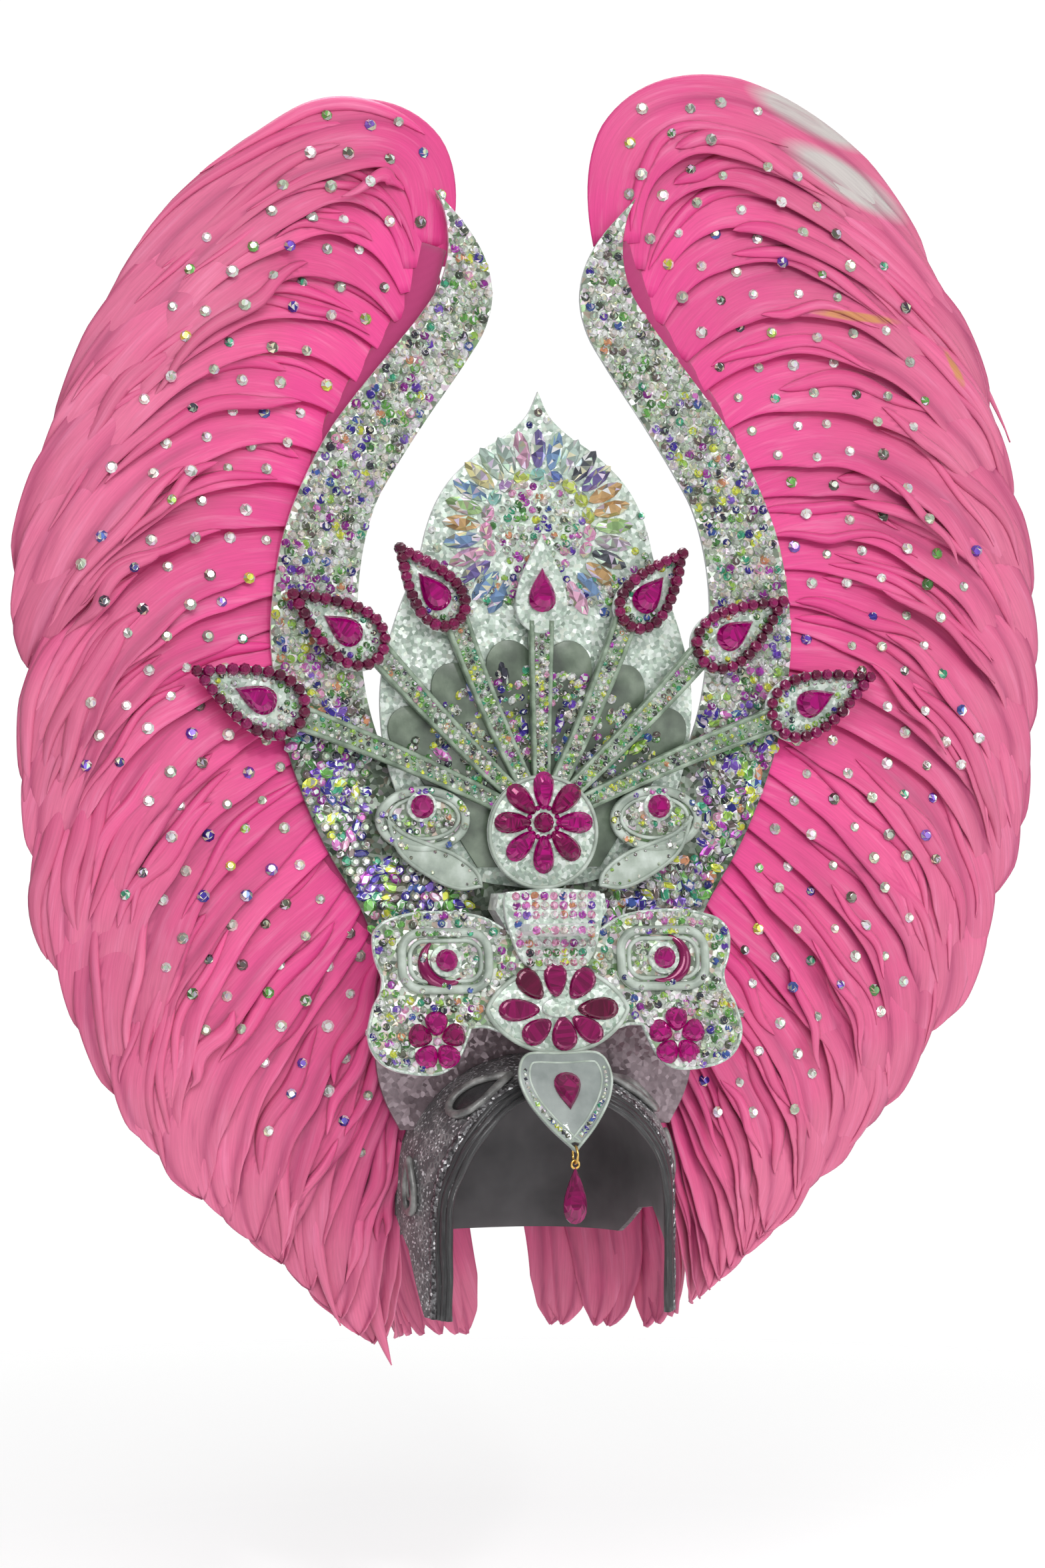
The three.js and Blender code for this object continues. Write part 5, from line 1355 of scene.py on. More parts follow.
def makeStem(stem):
    rng = random.Random(int(stem["name"]) * 7)
    base, tip = Vector(stem["base"]), Vector(stem["tip"])
    middle, long = (base + tip) / 2, (tip - base).length
    turn = math.atan2(tip.y - base.y, tip.x - base.x)
    name = "stem_" + stem["name"]
    line = stemLine(stem)
    strand = cutBoard(name + "Strand", [stripLoop(line, fan["widths"])], fan["front"] + 0.3, 5.1, bevel=0.8)
    head = cutBoard(name + "Head", [placedLine(teardropLine(long, long * fan["headWidth"]), 64, *middle, turn)],
                    fan["front"], 3, bevel=0.5)
    painted(strand, "stemTrim")
    painted(head, "silverBoard")
    edges = []
    for sign in (-1, 1):
        path = []
        for point, across, width in acrossLine(line, fan["widths"]):
            spot = point + across * sign * (width / 2 - fan["edgeInset"])
            path.append((spot.x, fan["front"] + 0.1, spot.y))
        edge = capEnds(sweep("edge", path, (0, -1, 0), roundSection(1.6, 1.3, 8)))
        edges.append(painted(edge, "stemTrim"))
    board = merged(name + "_board", [strand, head, *edges])
    dress(board, None, "smooth_board", replacing=[name])
    surface = surfaceOf(board)
    chips, chipColours = [], []
    for i in range(1, fan["chips"]):
        t = i / fan["chips"] * (len(line) - 1)
        k = min(int(t), len(line) - 2)
        point = line[k].lerp(line[k + 1], t - k)
        along = (line[k + 1] - line[k]).normalized()
        if (point - middle).length < long * 0.5:
            continue
        point = point + Vector((-along.y, along.x)) * (3.1, 0, -3.1)[i % 3] * (0.8 + 0.5 * t / len(line))
        spot, normal = seat(surface, point.x, point.y)
        chipTurn = math.degrees(math.atan2(along.y, along.x)) + rng.uniform(-20, 20)
        chips.append((spot, normal, chipTurn, rng.uniform(3.0, 4.2)))
        chipColours.append(mixedColour(rng, {"pale": 3, "leaf": 3, "dark": 2, "warm": 0.4}))
    stoneSpot = middle - Vector((math.cos(turn), math.sin(turn))) * fan["stoneBack"]
    taken = []
    clearX, clearY = fan["clearOfStone"]
    if stem["name"] != "4":
        for k in range(4):
            inset = fan["ringInset"] + fan["ringStep"] * k
            size = (long - inset, long * fan["headWidth"] - inset)
            if size[1] < 8:
                break
            ringLine = placedLine(teardropLine(*size), 60, *middle, turn)
            for x, z in beadRing(ringLine, max(int(size[0] * 2.3 / fan["ringPitch"]), 4)):
                local = Matrix.Rotation(-turn, 2) @ (Vector((x, z)) - stoneSpot)
                inStone = (local.x / clearX) ** 2 + (local.y / clearY) ** 2 < 1
                if not inStone and all(math.hypot(x - a, z - b) > fan["chipGap"] for a, b in taken):
                    taken.append((x, z))
    for x, z in taken:
        spot, normal = seat(surface, x, z)
        chips.append((spot, normal, rng.uniform(0, 45), fan["stoneSize"] * rng.uniform(0.85, 1.05)))
        chipColours.append(mixedColour(rng, {"pale": 5, "leaf": 2.6, "cool": 0.5, "warm": 0.6, "dark": 0.6}))
    setStones(name + "_chips", "round", chips, chipColours, "clear", int(stem["name"]), 0.42, accents=accents)
    setOne("teardrop_" + stem["name"], "teardrop", surface, *stoneSpot, math.degrees(turn), fan["stoneSizes"],
           "bright", int(stem["name"]), 0.4, replacing=["teardrop_stone_" + stem["name"]])
    if stem["name"] == "4":
        return
    borderLine = teardropLine(long - fan["bead"], long * fan["headWidth"] - fan["bead"])
    border = placedLine(borderLine, 90, *middle, turn)
    beads = []
    for x, z in beadRing(border, fan["beads"]):
        spot, normal = seat(surface, x, z)
        if spot is None:
            spot, normal = Vector((x * mm, fan["front"] * mm, z * mm)), Vector((0, -1, 0))
        beads.append((spot, Vector((0, -1, 0)), rng.uniform(0, 45), fan["bead"] * rng.uniform(0.9, 1.02)))
    shades = [paint(*rng.choice([(96, 0, 50), (116, 0, 66), (78, 0, 40), (128, 6, 78)])) for _ in beads]
    setStones("beads_" + stem["name"], "bead", beads, shades, "wine", 60 + int(stem["name"]), 0.3,
              replacing=["bead_border_" + stem["name"]])


leaves = {
    "inner": 40, "outer": 112, "from": 24, "to": 156, "count": 6, "chips": 96,
    # long stones: angle, reach and colour
    "marks": [(118, 92, "cool"), (133, 88, "leaf"), (62, 90, "dark"), (78, 64, "cool"), (100, 60, "cool"),
              (48, 84, "dark"), (104, 96, "dark"), (146, 76, "warm"), (36, 80, "leaf")],
}


def makeFan():
    backing, front = boardFrom("fan_backing", thickness=2.5, parts=3)
    backing.name = "fan_leaves"
    dress(backing, "oliveBoard", "smooth_board", replacing=["fan_backing"])
    surface = surfaceOf(backing)
    rng = random.Random(12)
    chips, colours = [], []
    step = (leaves["to"] - leaves["from"]) / leaves["count"]
    for k in range(leaves["count"]):
        middle = leaves["from"] + step * (k + 0.5)
        for _ in range(leaves["chips"]):
            reach = rng.uniform(leaves["inner"], leaves["outer"] * 0.86)
            nearEdge = rng.random() < 0.8
            edge = rng.choice([-1, 1]) * rng.uniform(0.2, 0.47) if nearEdge else rng.uniform(-0.2, 0.2)
            angle = math.radians(middle + edge * step)
            x = fan["centre"][0] + reach * math.cos(angle)
            z = fan["centre"][1] + reach * math.sin(angle)
            spot, normal = seat(surface, x, z)
            if spot is None or spot.y / mm > front + 0.6:
                continue
            size = rng.uniform(3.6, 7.0)
            chips.append((spot, normal, rng.uniform(0, 90), (size, size * rng.uniform(0.6, 1), size * 0.8)))
            colours.append(mixedColour(rng, {"pale": 2, "leaf": 3.4, "dark": 3, "cool": 1.4, "warm": 0.6}))
    setStones("leaf_chips", "round", chips, colours, "clear", 71, 0.45, accents=accents)
    marks, markColours = [], []
    for angle, reach, tone in leaves["marks"]:
        x = reach * math.cos(math.radians(angle))
        z = fan["centre"][1] + reach * math.sin(math.radians(angle))
        spot, normal = seat(surface, x, z)
        if spot is not None:
            marks.append((spot, normal, angle, (15, 15, 15)))
            markColours.append(mixedColour(rng, {tone: 1}))
    setStones("leaf_marquise", "marquise", marks, markColours, "clear", 72, 0.5, accents=accents)
    for stem in stems:
        makeStem(stem)


makeFan()
print("fan of stems made")


browGroup = Matrix.Translation((0, -47 * mm, 74 * mm)) @ Matrix.Rotation(math.radians(-9), 4, "X")
foreheadGroup = Matrix.Translation((0, -70 * mm, 0)) @ Matrix.Rotation(math.radians(-27), 4, "X")


def edgeRoll(name, loop, front, radius, group=straight, high=None):
    high = radius if high is None else high
    path = [(x, front, z) for x, z in loop]
    return inGroup(sweep(name, path, (0, -1, 0), roundSection(radius, high, 8), closed=True), group)


def crescent(name, x, z, reach, front, radius, fromDegrees, toDegrees, group):
    count, ends, swell = 30, 0.25, 0.9
    path, widths = [], []
    for i in range(count):
        share = i / (count - 1)
        angle = math.radians(fromDegrees + (toDegrees - fromDegrees) * share)
        path.append((x + reach * math.cos(angle), front, z + reach * math.sin(angle)))
        widths.append(ends + swell * math.sin(math.pi * share))
    bow = sweep(name, path, (0, -1, 0), roundSection(radius, radius * 0.7, 8), widths=widths)
    return inGroup(capEnds(bow), group)


def flowerStones(name, gem, surface, x, z, count, start, turn, group, tones, replacing, seed):
    places, colours = [], []
    rng = random.Random(seed)
    middle, normal = seat(surface, x, z, group)
    for i in range(count):
        angle = turn + 360 * i / count
        c, s = math.cos(math.radians(angle)), math.sin(math.radians(angle))
        spot = middle + group.to_3x3() @ (Vector((start * c, 0, start * s)) * mm)
        places.append((spot, normal, math.degrees(math.atan2(s, c)), 1))
        colours.append(magenta(rng.choice(tones)))
    return setStones(name, gem, places, colours, "magenta", seed, 0.5, replacing=replacing, group=group)


# Disc with the tall flower, in the middle of the fan

upperFlower = {"x": 0, "z": 146, "discZ": 140, "petals": 8, "start": 8, "turn": 90, "centre": (13, 13, 15),
               "dots": 8, "dotReach": 9.6, "dotSize": 3.4}


def makeUpperFlower():
    board, front = boardFrom("upper_disc", thickness=3, parts=3, bevel=0.8)
    board.name = "flower_disc"
    dress(board, "silverBoard", "silver_board", replacing=["upper_disc"])
    rim = edgeRoll("disc_rim", placedLine(ovalLine(69.4, 69.4), 72, 0, upperFlower["discZ"], 0), front, 1.3)
    dress(rim, "smoothTrim", "silver_board")
    surface = surfaceOf(board)
    flowerStones("upper_petals", "petal", surface, upperFlower["x"], upperFlower["z"], upperFlower["petals"],
                 upperFlower["start"], upperFlower["turn"], straight, ["bright", "bright", "deep"],
                 replacing=["upper_flower"], seed=3)
    setOne("upper_centre", "roundLarge", surface, upperFlower["x"], upperFlower["z"], 0, upperFlower["centre"],
           "deep", 5, 0.4)
    places = []
    count, reach = upperFlower["dots"], upperFlower["dotReach"]
    for i in range(count):
        angle = 2 * math.pi * (i + 0.5) / count
        spot, normal = seat(surface, reach * math.cos(angle), upperFlower["z"] + reach * math.sin(angle))
        places.append((spot, normal, 0, upperFlower["dotSize"]))
    setStones("upper_dots", "round", places, [magenta("bright")] * count, "magenta", 6, 0.3)


# Side scrolls: a raised ring round a bed of stones, and a leaf that sweeps to the waist

sideScroll = {"x": 76, "z": 148, "wide": 60, "high": 41, "stone": (77, 156, 15), "edge": 2.9,
              "leaf": [(100, 150), (92, 128), (72, 112), (52, 104), (38, 106),
                       (40, 114), (54, 126), (74, 134), (88, 140)]}


def makeSideScroll(side, sign):
    _, front = frontLoops("side_scroll_" + side, straight)
    x, z = sign * sideScroll["x"], sideScroll["z"]
    wide, high = sideScroll["wide"], sideScroll["high"]
    stoneX, stoneZ, stoneWide = sideScroll["stone"]
    bed = cutBoard("bed", [placedLine(ovalLine(wide, high), 48, x, z, 0)], front + 3, 2)
    leafLoop = smoothLoop([(sign * px, pz) for px, pz in sideScroll["leaf"]], 6, 70)
    leaf = cutBoard("leaf", [leafLoop], front + 0.8, 4.2, bevel=1.2)
    ringLoop = placedLine(ovalLine(wide - 5, high - 5), 60, x, z, 0)
    innerLoop = placedLine(ovalLine(wide - 16, high - 15), 50, x - sign, z + 1, 0)
    ring = edgeRoll("ring", ringLoop, front + 2.0, sideScroll["edge"], high=2.0)
    inner = edgeRoll("inner", innerLoop, front + 2.6, 1.3)
    leafEdge = edgeRoll("leafEdge", insetLoop(leafLoop, 0.9), front + 0.9, 1.4)
    boss = cutBoard("boss", [placedLine(ovalLine(19, 19), 32, sign * stoneX, stoneZ, 0)], front, 5, bevel=0.6)
    trimmed = [painted(part, "smoothTrim") for part in (leaf, ring, inner, leafEdge)]
    parts = [painted(bed, "glitterBoard"), *trimmed, painted(boss, "silverBoard")]
    board = merged(f"side_scroll_{side}_board", parts)
    dress(board, None, "glitter_board", replacing=["side_scroll_" + side])
    surface = surfaceOf(board)
    setOne(f"round_upper_{side}", "roundLarge", surface, sign * stoneX, stoneZ, 0, (stoneWide, stoneWide, 14),
           "bright", 8 if sign < 0 else 9, 0.34, replacing=["round_stone_upper_" + side])
    rng = random.Random(17 if sign < 0 else 18)
    places, colours = [], []
    box = (x - wide / 2, z - 20, x + wide / 2, z + 20)
    seats = fieldSeats(surface, box, 4.9, 1.6, 14, jitter=0.2, level=front + 3)
    seats += fieldSeats(surface, box, 4.4, 1.0, 15, jitter=0.2, level=front)
    for spot, normal, px, pz in seats:
        if math.hypot(px - sign * stoneX, pz - stoneZ) > 8.6:
            places.append((spot, normal, rng.uniform(0, 90), rng.uniform(3.6, 4.8)))
            colours.append(mixedColour(rng, {"pale": 4, "leaf": 2.6, "dark": 1.4, "warm": 1, "cool": 0.6}))
    edgeLoop = insetLoop(leafLoop, 3.6)
    for i in range(0, len(edgeLoop), 2):
        spot, normal = seat(surface, *edgeLoop[i])
        if spot is not None and rng.random() < 0.75:
            places.append((spot, normal, rng.uniform(0, 90), rng.uniform(2, 2.8)))
            colours.append(mixedColour(rng, {"pale": 3, "leaf": 2, "dark": 2}))
    setStones(f"scroll_chips_{side}", "round", places, colours, "clear", 19, 0.42, accents=accents)


# Waist: the block of pink-tinted stones between the upper and lower boards

waist = {
    "pitch": 6.1, "size": 5.7, "rows": 8, "topZ": 26,
    "shield": [(0, 31), (30, 29), (32, 22), (29, 4), (23, -12), (17, -18), (0, -20)],
}


def bevelledCopy(name, node, width, material, slot):
    piece = nodes[node].copy()
    piece.data = nodes[node].data.copy()
    for key in list(piece.keys()):
        del piece[key]
    bpy.context.scene.collection.objects.link(piece)
    piece.name = name
    piece.hide_render = False
    bpy.context.view_layer.objects.active = piece
    piece.select_set(True)
    mend(weld=0.00002, turnOut=False)
    edge = piece.modifiers.new("edge", "BEVEL")
    edge.width = width * mm
    edge.segments = 2
    edge.limit_method = "ANGLE"
    applyModifiers(piece)
    bpy.ops.object.shade_smooth_by_angle(angle=math.radians(30))
    piece.select_set(False)
    return dress(piece, material, slot, replacing=[node])


# The stone-set shield lies on the waist block and the top of the brow plate
def makeWaist():
    block = bevelledCopy("waist_board", "waist_block", 1.0, "silverBoard", "silver_board")
    half = waist["shield"]
    loop = smoothLoop(half + [(-x, z) for x, z in half[-2:0:-1]], 6, 60)
    shield = cutBoard("waist_shield", [loop], -7.4, 4, browGroup, bevel=0.9)
    dress(shield, "silverBoard", "silver_board")
    surface = surfaceOf(shield, block)
    rng = random.Random(22)
    places, colours = [], []
    for row in range(waist["rows"]):
        z = waist["topZ"] - row * waist["pitch"] * 0.96
        for k in range(11):
            x = (k - 5) * waist["pitch"] * (1 - 0.012 * row)
            around = ((0, 0), (2.4, 0), (-2.4, 0), (0, 2.2), (0, -2.2))
            spots = [seat(surface, x + dx, z + dz, browGroup) for dx, dz in around]
            depths = [(browGroup.inverted() @ s[0]).y / mm for s in spots if s[0] is not None]
            if len(depths) < 5 or max(depths) > -5 or spots[0][1].y > -0.5:
                continue
            places.append((*spots[0], rng.uniform(-8, 8), waist["size"] * rng.uniform(0.92, 1.02)))
            dark = (k + row) % 2 == 0 and rng.random() < 0.6
            weights = {"warm": 3, "pale": 2.2, "cool": 3 if dark else 0.2}
            colours.append(mixedColour(rng, weights if row < 6 else {"leaf": 3, "pale": 4, "dark": 1.2}))
    setStones("waist_stones", "round", places, colours, "clear", 23, 0.4,
              accents=[paint(250, 214, 228), paint(244, 244, 244), paint(206, 132, 160)], group=browGroup)
    print("stones on the waist:", len(places))
    return block, shield


# Brow plate with its two ring mounts, two small flowers and the oval plate

ringMount = {"x": 70, "z": -13, "wide": 60, "high": 40, "corner": 14, "stone": (14, 14, 14), "clear": 7.9}
browStones = {"pitch": 6.0, "size": 5.6}
smallFlower = {"x": 77, "z": -62, "petals": 5, "start": 3.4, "centre": 5, "centreLift": 1.2, "clear": 17}
ovalPlate = {
    "z": -44, "centre": (21, 12),
    # the flat petals: middle from the plate's own, angle, length and width shares
    "petals": [
        (-25, -1, 180, 1.1, 0.95), (-17, 14.5, 128, 0.92, 1), (-1, 17.5, 90, 0.9, 1), (15.5, 14.5, 52, 0.92, 1),
        (25.5, -1, 0, 1.1, 0.95), (-14, -14, 214, 0.88, 1), (3, -16, 274, 0.88, 1.1), (18, -13, 322, 0.95, 0.95),
    ],
}


def roundedLoop(wide, high, corner, x, z, steps=7):
    loop = []
    for cx, cz, start in ((1, 1, 0), (-1, 1, 90), (-1, -1, 180), (1, -1, 270)):
        for k in range(steps + 1):
            a = math.radians(start + 90 * k / steps)
            loop.append((x + cx * (wide / 2 - corner) + corner * math.cos(a),
                         z + cz * (high / 2 - corner) + corner * math.sin(a)))
    return loop


def makeRingMount(side, sign, front):
    x, z = sign * ringMount["x"], ringMount["z"]
    wide, high, corner = ringMount["wide"], ringMount["high"], ringMount["corner"]
    bed = cutBoard("bed", [roundedLoop(wide, high, corner, x, z)], front - 1.5, 1.5, browGroup)
    parts = [painted(bed, "glitterBoard")]
    for inset, radius, tall in ((2.6, 2.9, 2.6), (7.6, 1.5, 1.6)):
        loop = roundedLoop(wide - 2 * inset, high - 2 * inset, corner - inset * 0.6, x, z)
        ring = edgeRoll("ring", loop, front - 1.7, radius, browGroup, high=tall)
        parts.append(painted(ring, "smoothTrim"))
    boss = cutBoard("boss", [placedLine(ovalLine(20, 20), 32, x, z, 0)], front - 4, 4, browGroup, bevel=0.7)
    parts.append(painted(boss, "silverBoard"))
    mount = merged(f"ring_mount_{side}_board", parts)
    dress(mount, None, "smooth_board", replacing=["ring_mount_" + side])
    turn = (130, 310) if sign < 0 else (-120, 75)
    wine = crescent(f"ring_crescent_{side}", x, z, 14.2, front - 2.2, 3.6, *turn, browGroup)
    for polygon in wine.data.polygons:
        polygon.use_smooth = True
    tone = wine.data.color_attributes.new("stoneColour", "FLOAT_COLOR", "CORNER")
    tone.data.foreach_set("color", [*magenta("deep")] * len(wine.data.loops))
    dress(wine, *stoneKinds["magenta"])
    surface = surfaceOf(mount)
    setOne(f"round_lower_{side}", "roundLarge", surface, x, z, 0, ringMount["stone"], "bright",
           26 if sign < 0 else 27, 0.34, replacing=["round_stone_lower_" + side], group=browGroup)
    rng = random.Random(30 if sign < 0 else 31)
    places, colours = [], []
    ringed = surfaceOf(mount, wine)
    box = (x - 32, z - 22, x + 32, z + 22)
    seats = fieldSeats(ringed, box, 4.3, 1.5, 32, browGroup, jitter=0.2, level=front - 1.5)
    seats += fieldSeats(ringed, box, 3.7, 1.0, 33, browGroup, jitter=0.15, level=front - 4)
    for spot, normal, px, pz in seats:
        if math.hypot(px - x, pz - z) < ringMount["clear"]:
            continue
        outside = sign * (px - x) > 8 and rng.random() < 0.3
        places.append((spot, normal, rng.uniform(0, 90), rng.uniform(3.4, 4.2)))
        colours.append(mixedColour(rng, {"pale": 4, "leaf": 2, "dark": 1, "cool": 3 if outside else 0.6}))
    setStones(f"ring_chips_{side}", "round", places, colours, "clear", 34, 0.42,
              accents=accents, group=browGroup)
    return mount


def makeBrow():
    board, front = boardFrom("brow_plate", browGroup, thickness=3, bevel=0.8)
    board.name = "brow_board"
    dress(board, "glitterBoard", "glitter_board", replacing=["brow_plate"])
    loops, _ = frontLoops("brow_plate", browGroup)
    outline = smoothLoop(loops[0], 4)
    rim = edgeRoll("brow_rim", insetLoop(outline, 0.9), front + 0.2, 1.0, browGroup)
    dress(rim, "silverBoard", "silver_board")
    mounts = [makeRingMount(side, sign, front) for side, sign in (("left", -1), ("right", 1))]
    plate, plateFront = boardFrom("oval_plate", browGroup, thickness=2.5, bevel=0.6)
    plate.name = "oval_board"
    dress(plate, "silverBoard", "silver_board", replacing=["oval_plate"])
    ovalLoops, _ = frontLoops("oval_plate", browGroup)
    rimLoop = insetLoop(smoothLoop(ovalLoops[0], 4), 1.1)
    ovalRim = edgeRoll("oval_rim", rimLoop, plateFront + 0.1, 1.5, browGroup)
    dress(ovalRim, "smoothTrim", "silver_board")
    surface = surfaceOf(board)
    covered = surfaceOf(board, *mounts, plate, bpy.data.objects["waist_shield"])
    for sign, side in ((-1, "left"), (1, "right")):
        flowerStones(f"small_petals_{side}", "smallPetal", surface, sign * smallFlower["x"], smallFlower["z"],
                     smallFlower["petals"], smallFlower["start"], 90, browGroup, ["bright", "deep", "bright"],
                     replacing=["small_flower_" + side], seed=36 + sign)
        spot, normal = seat(surface, sign * smallFlower["x"], smallFlower["z"], browGroup)
        place = (spot + normal * smallFlower["centreLift"] * mm, normal, 0, smallFlower["centre"])
        setStones(f"small_centre_{side}", "round", [place], [paint(236, 206, 226)], "clear", 38, 0.3,
                  group=browGroup)
    rng = random.Random(39)
    places, colours = [], []
    flowers = [(-smallFlower["x"], smallFlower["z"]), (smallFlower["x"], smallFlower["z"])]
    seats = fieldSeats(covered, (-120, -84, 120, 20), browStones["pitch"], 2.2, 40, browGroup,
                       jitter=0.16, level=front)
    edge = [Vector(p) for p in outline[::3]]
    for spot, normal, px, pz in seats:
        if any(math.hypot(px - a, pz - b) < smallFlower["clear"] for a, b in flowers):
            continue
        nearEdge = min((Vector((px, pz)) - p).length for p in edge) < 7
        places.append((spot, normal, rng.uniform(0, 90), browStones["size"] * rng.uniform(0.85, 1.05)))
        weights = {"pale": 3.4, "leaf": 2.6, "dark": 2, "warm": 1.1, "cool": 0.9}
        if nearEdge and abs(px) > 60:
            weights["cool"] = 4.5
        colours.append(mixedColour(rng, weights))
    setStones("brow_stones", "round", places, colours, "clear", 41, 0.32, accents=accents, group=browGroup)
    plateSurface = surfaceOf(plate)
    petals, petalColours = [], []
    middle, normal = seat(plateSurface, 0, ovalPlate["z"] + 1, browGroup)
    for px, pz, angle, long, wide in ovalPlate["petals"]:
        c, s = math.cos(math.radians(angle)), math.sin(math.radians(angle))
        start = Vector((px - 12 * long * c, 0, pz - 12 * long * s)) * mm
        petals.append((middle + browGroup.to_3x3() @ start, normal, angle, (long, wide, 1)))
        petalColours.append(magenta(rng.choice(["deep", "wine", "deep"])))
    setStones("lower_petals", "flatPetal", petals, petalColours, "magenta", 42, 0.36,
              replacing=["lower_flower"], group=browGroup)
    centre = cutBoard("flower_middle", [placedLine(ovalLine(*ovalPlate["centre"]), 32, 0, ovalPlate["z"] + 1, 0)],
                      plateFront - 2.4, 2.4, browGroup, bevel=0.8)
    dress(centre, "silverBoard", "silver_board")
    print("stones on the brow:", len(places))


# Forehead plate, jump ring and drop

foreheadPlate = {"stone": -20, "chip": 2.6, "inset": 4.4}
jumpRing = {"y": -95.95, "top": -48.95, "radius": 5.2, "wire": 0.8}
dropStone = {"long": 35, "bail": 2.4, "wire": 0.76}


def makeForehead():
    board, front = boardFrom("forehead_plate", foreheadGroup, thickness=1.8, bevel=0.4)
    board.name = "forehead_board"
    loops, _ = frontLoops("forehead_plate", foreheadGroup)
    outline = smoothLoop(loops[0], 4)
    board.data.materials.clear()
    painted(board, "foreheadTrim")
    parts = [board]
    for inset, radius in ((1.0, 0.9), (7.2, 0.7)):
        rim = edgeRoll("rim", insetLoop(outline, inset), front + 0.2, radius, foreheadGroup)
        painted(rim, "smoothTrim")
        parts.append(rim)
    board = merged("forehead_board", parts)
    dress(board, None, "smooth_board", replacing=["forehead_plate"])
    surface = surfaceOf(board)
    setOne("forehead_gem", "browDrop", surface, 0, foreheadPlate["stone"], -90, (1.1, 1.25, 1.1), "deep", 50, 0.4,
           replacing=["forehead_stone"], group=foreheadGroup)
    rng = random.Random(51)
    places, colours = [], []
    ringLine = beadRing(insetLoop(outline, foreheadPlate["inset"]), 62)
    for x, z in ringLine:
        spot, normal = seat(surface, x, z, foreheadGroup)
        if spot is None or z > -4 or z < -50:
            continue
        size = foreheadPlate["chip"] * (1.15 if z < -24 else 0.8)
        places.append((spot, normal, rng.uniform(0, 90), size))
        weights = {"pale": 4, "leaf": 2, "cool": 1, "dark": 1} if z < -20 else {"pale": 5, "dark": 1}
        colours.append(mixedColour(rng, weights))
    setStones("forehead_chips", "square", places, colours, "clear", 52, 0.5,
              accents=accents, group=foreheadGroup)


def circle(radius, count):
    return roundSection(radius, radius, count)[:-1]


def makeDrop():
    centre = jumpRing["top"] - jumpRing["radius"]
    path = [(0, jumpRing["y"] + dy, centre + dz) for dz, dy in circle(jumpRing["radius"], 40)]
    wire = roundSection(jumpRing["wire"], jumpRing["wire"], 10)
    ring = sweep("jump_ring_wire", path, (1, 0, 0), wire, closed=True)
    dress(ring, "giltWire", "gilt_wire", body="drop_ring", replacing=["jump_ring"])
    low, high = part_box("forehead_drop")
    top = high[2] / mm
    bailZ = top - dropStone["bail"] - dropStone["wire"]
    path = [(dx, jumpRing["y"], bailZ + dz) for dz, dx in circle(dropStone["bail"], 28)]
    wire = roundSection(dropStone["wire"], dropStone["wire"], 8)
    bail = sweep("drop_bail", path, (0, -1, 0), wire, closed=True)
    dress(bail, "giltWire", "gilt_wire", body="drop")
    middle = Vector((0, jumpRing["y"], low[2] / mm + dropStone["long"] / 2)) * mm
    toBack = Vector((0, 1, 0))
    halves = [(middle + toBack * 0.0001, -toBack, 90, 1), (middle - toBack * 0.0001, toBack, 90, 1)]
    setStones("drop_gem", "dropStone", halves, [magenta("deep")] * 2, "magenta", 53, 0.4,
              body="drop", replacing=["forehead_drop"])


makeUpperFlower()
makeSideScroll("left", -1)
makeSideScroll("right", 1)
makeWaist()
makeBrow()
makeForehead()
makeDrop()
print("flowers, brow and drop made")


# Cap: a moulded shell under glitter lace, open for the face, with its band and scrolls

cap = {
    "halfWidth": 83, "halfDepth": 98, "centreY": 8, "dome": 73, "bottom": -175, "square": 2.6, "wall": 3,
    "rim": [(-300, -157), (-42, -157), (-20, -118), (8, -100), (34, -104), (60, -122), (300, -126),
            (300, -400), (-300, -400)],
    "opening": {"halfWidth": 70, "arch": 82, "spring": -100, "backY": -15, "tab": -157},
    "scrolls": {
        "left_upper": (-45, -22, 44, 27, 55), "left_lower": (-81, -78, 32, 17, 95),
        "right_upper": (53, -24, 40, 22, 130), "right_lower": (82, -66, 32, 16, 100),
    },
}


def capReach(point, grow):
    power = cap["square"]
    across = abs(point[0]) / (cap["halfWidth"] + grow)
    deep = abs(point[1] - cap["centreY"]) / (cap["halfDepth"] + grow)
    rise = max(point[2] + cap["dome"], 0) / (cap["dome"] + grow)
    return (across**power + deep**power) ** (2 / power) + rise**2


def ontoCap(start, way, grow):
    near, far = 0.0, 200.0
    for _ in range(26):
        middle = (near + far) / 2
        if capReach(start + way * middle, grow) < 1:
            near = middle
        else:
            far = middle
    return start + way * near


def onCap(x, z, grow):
    return ontoCap(Vector((x, cap["centreY"], z)), Vector((0, -1, 0)), grow)


def capOutward(point):
    slope = []
    for axis in range(3):
        ahead, behind = point.copy(), point.copy()
        ahead[axis] += 0.5
        behind[axis] -= 0.5
        slope.append(capReach(ahead, 0) - capReach(behind, 0))
    return Vector(slope).normalized()


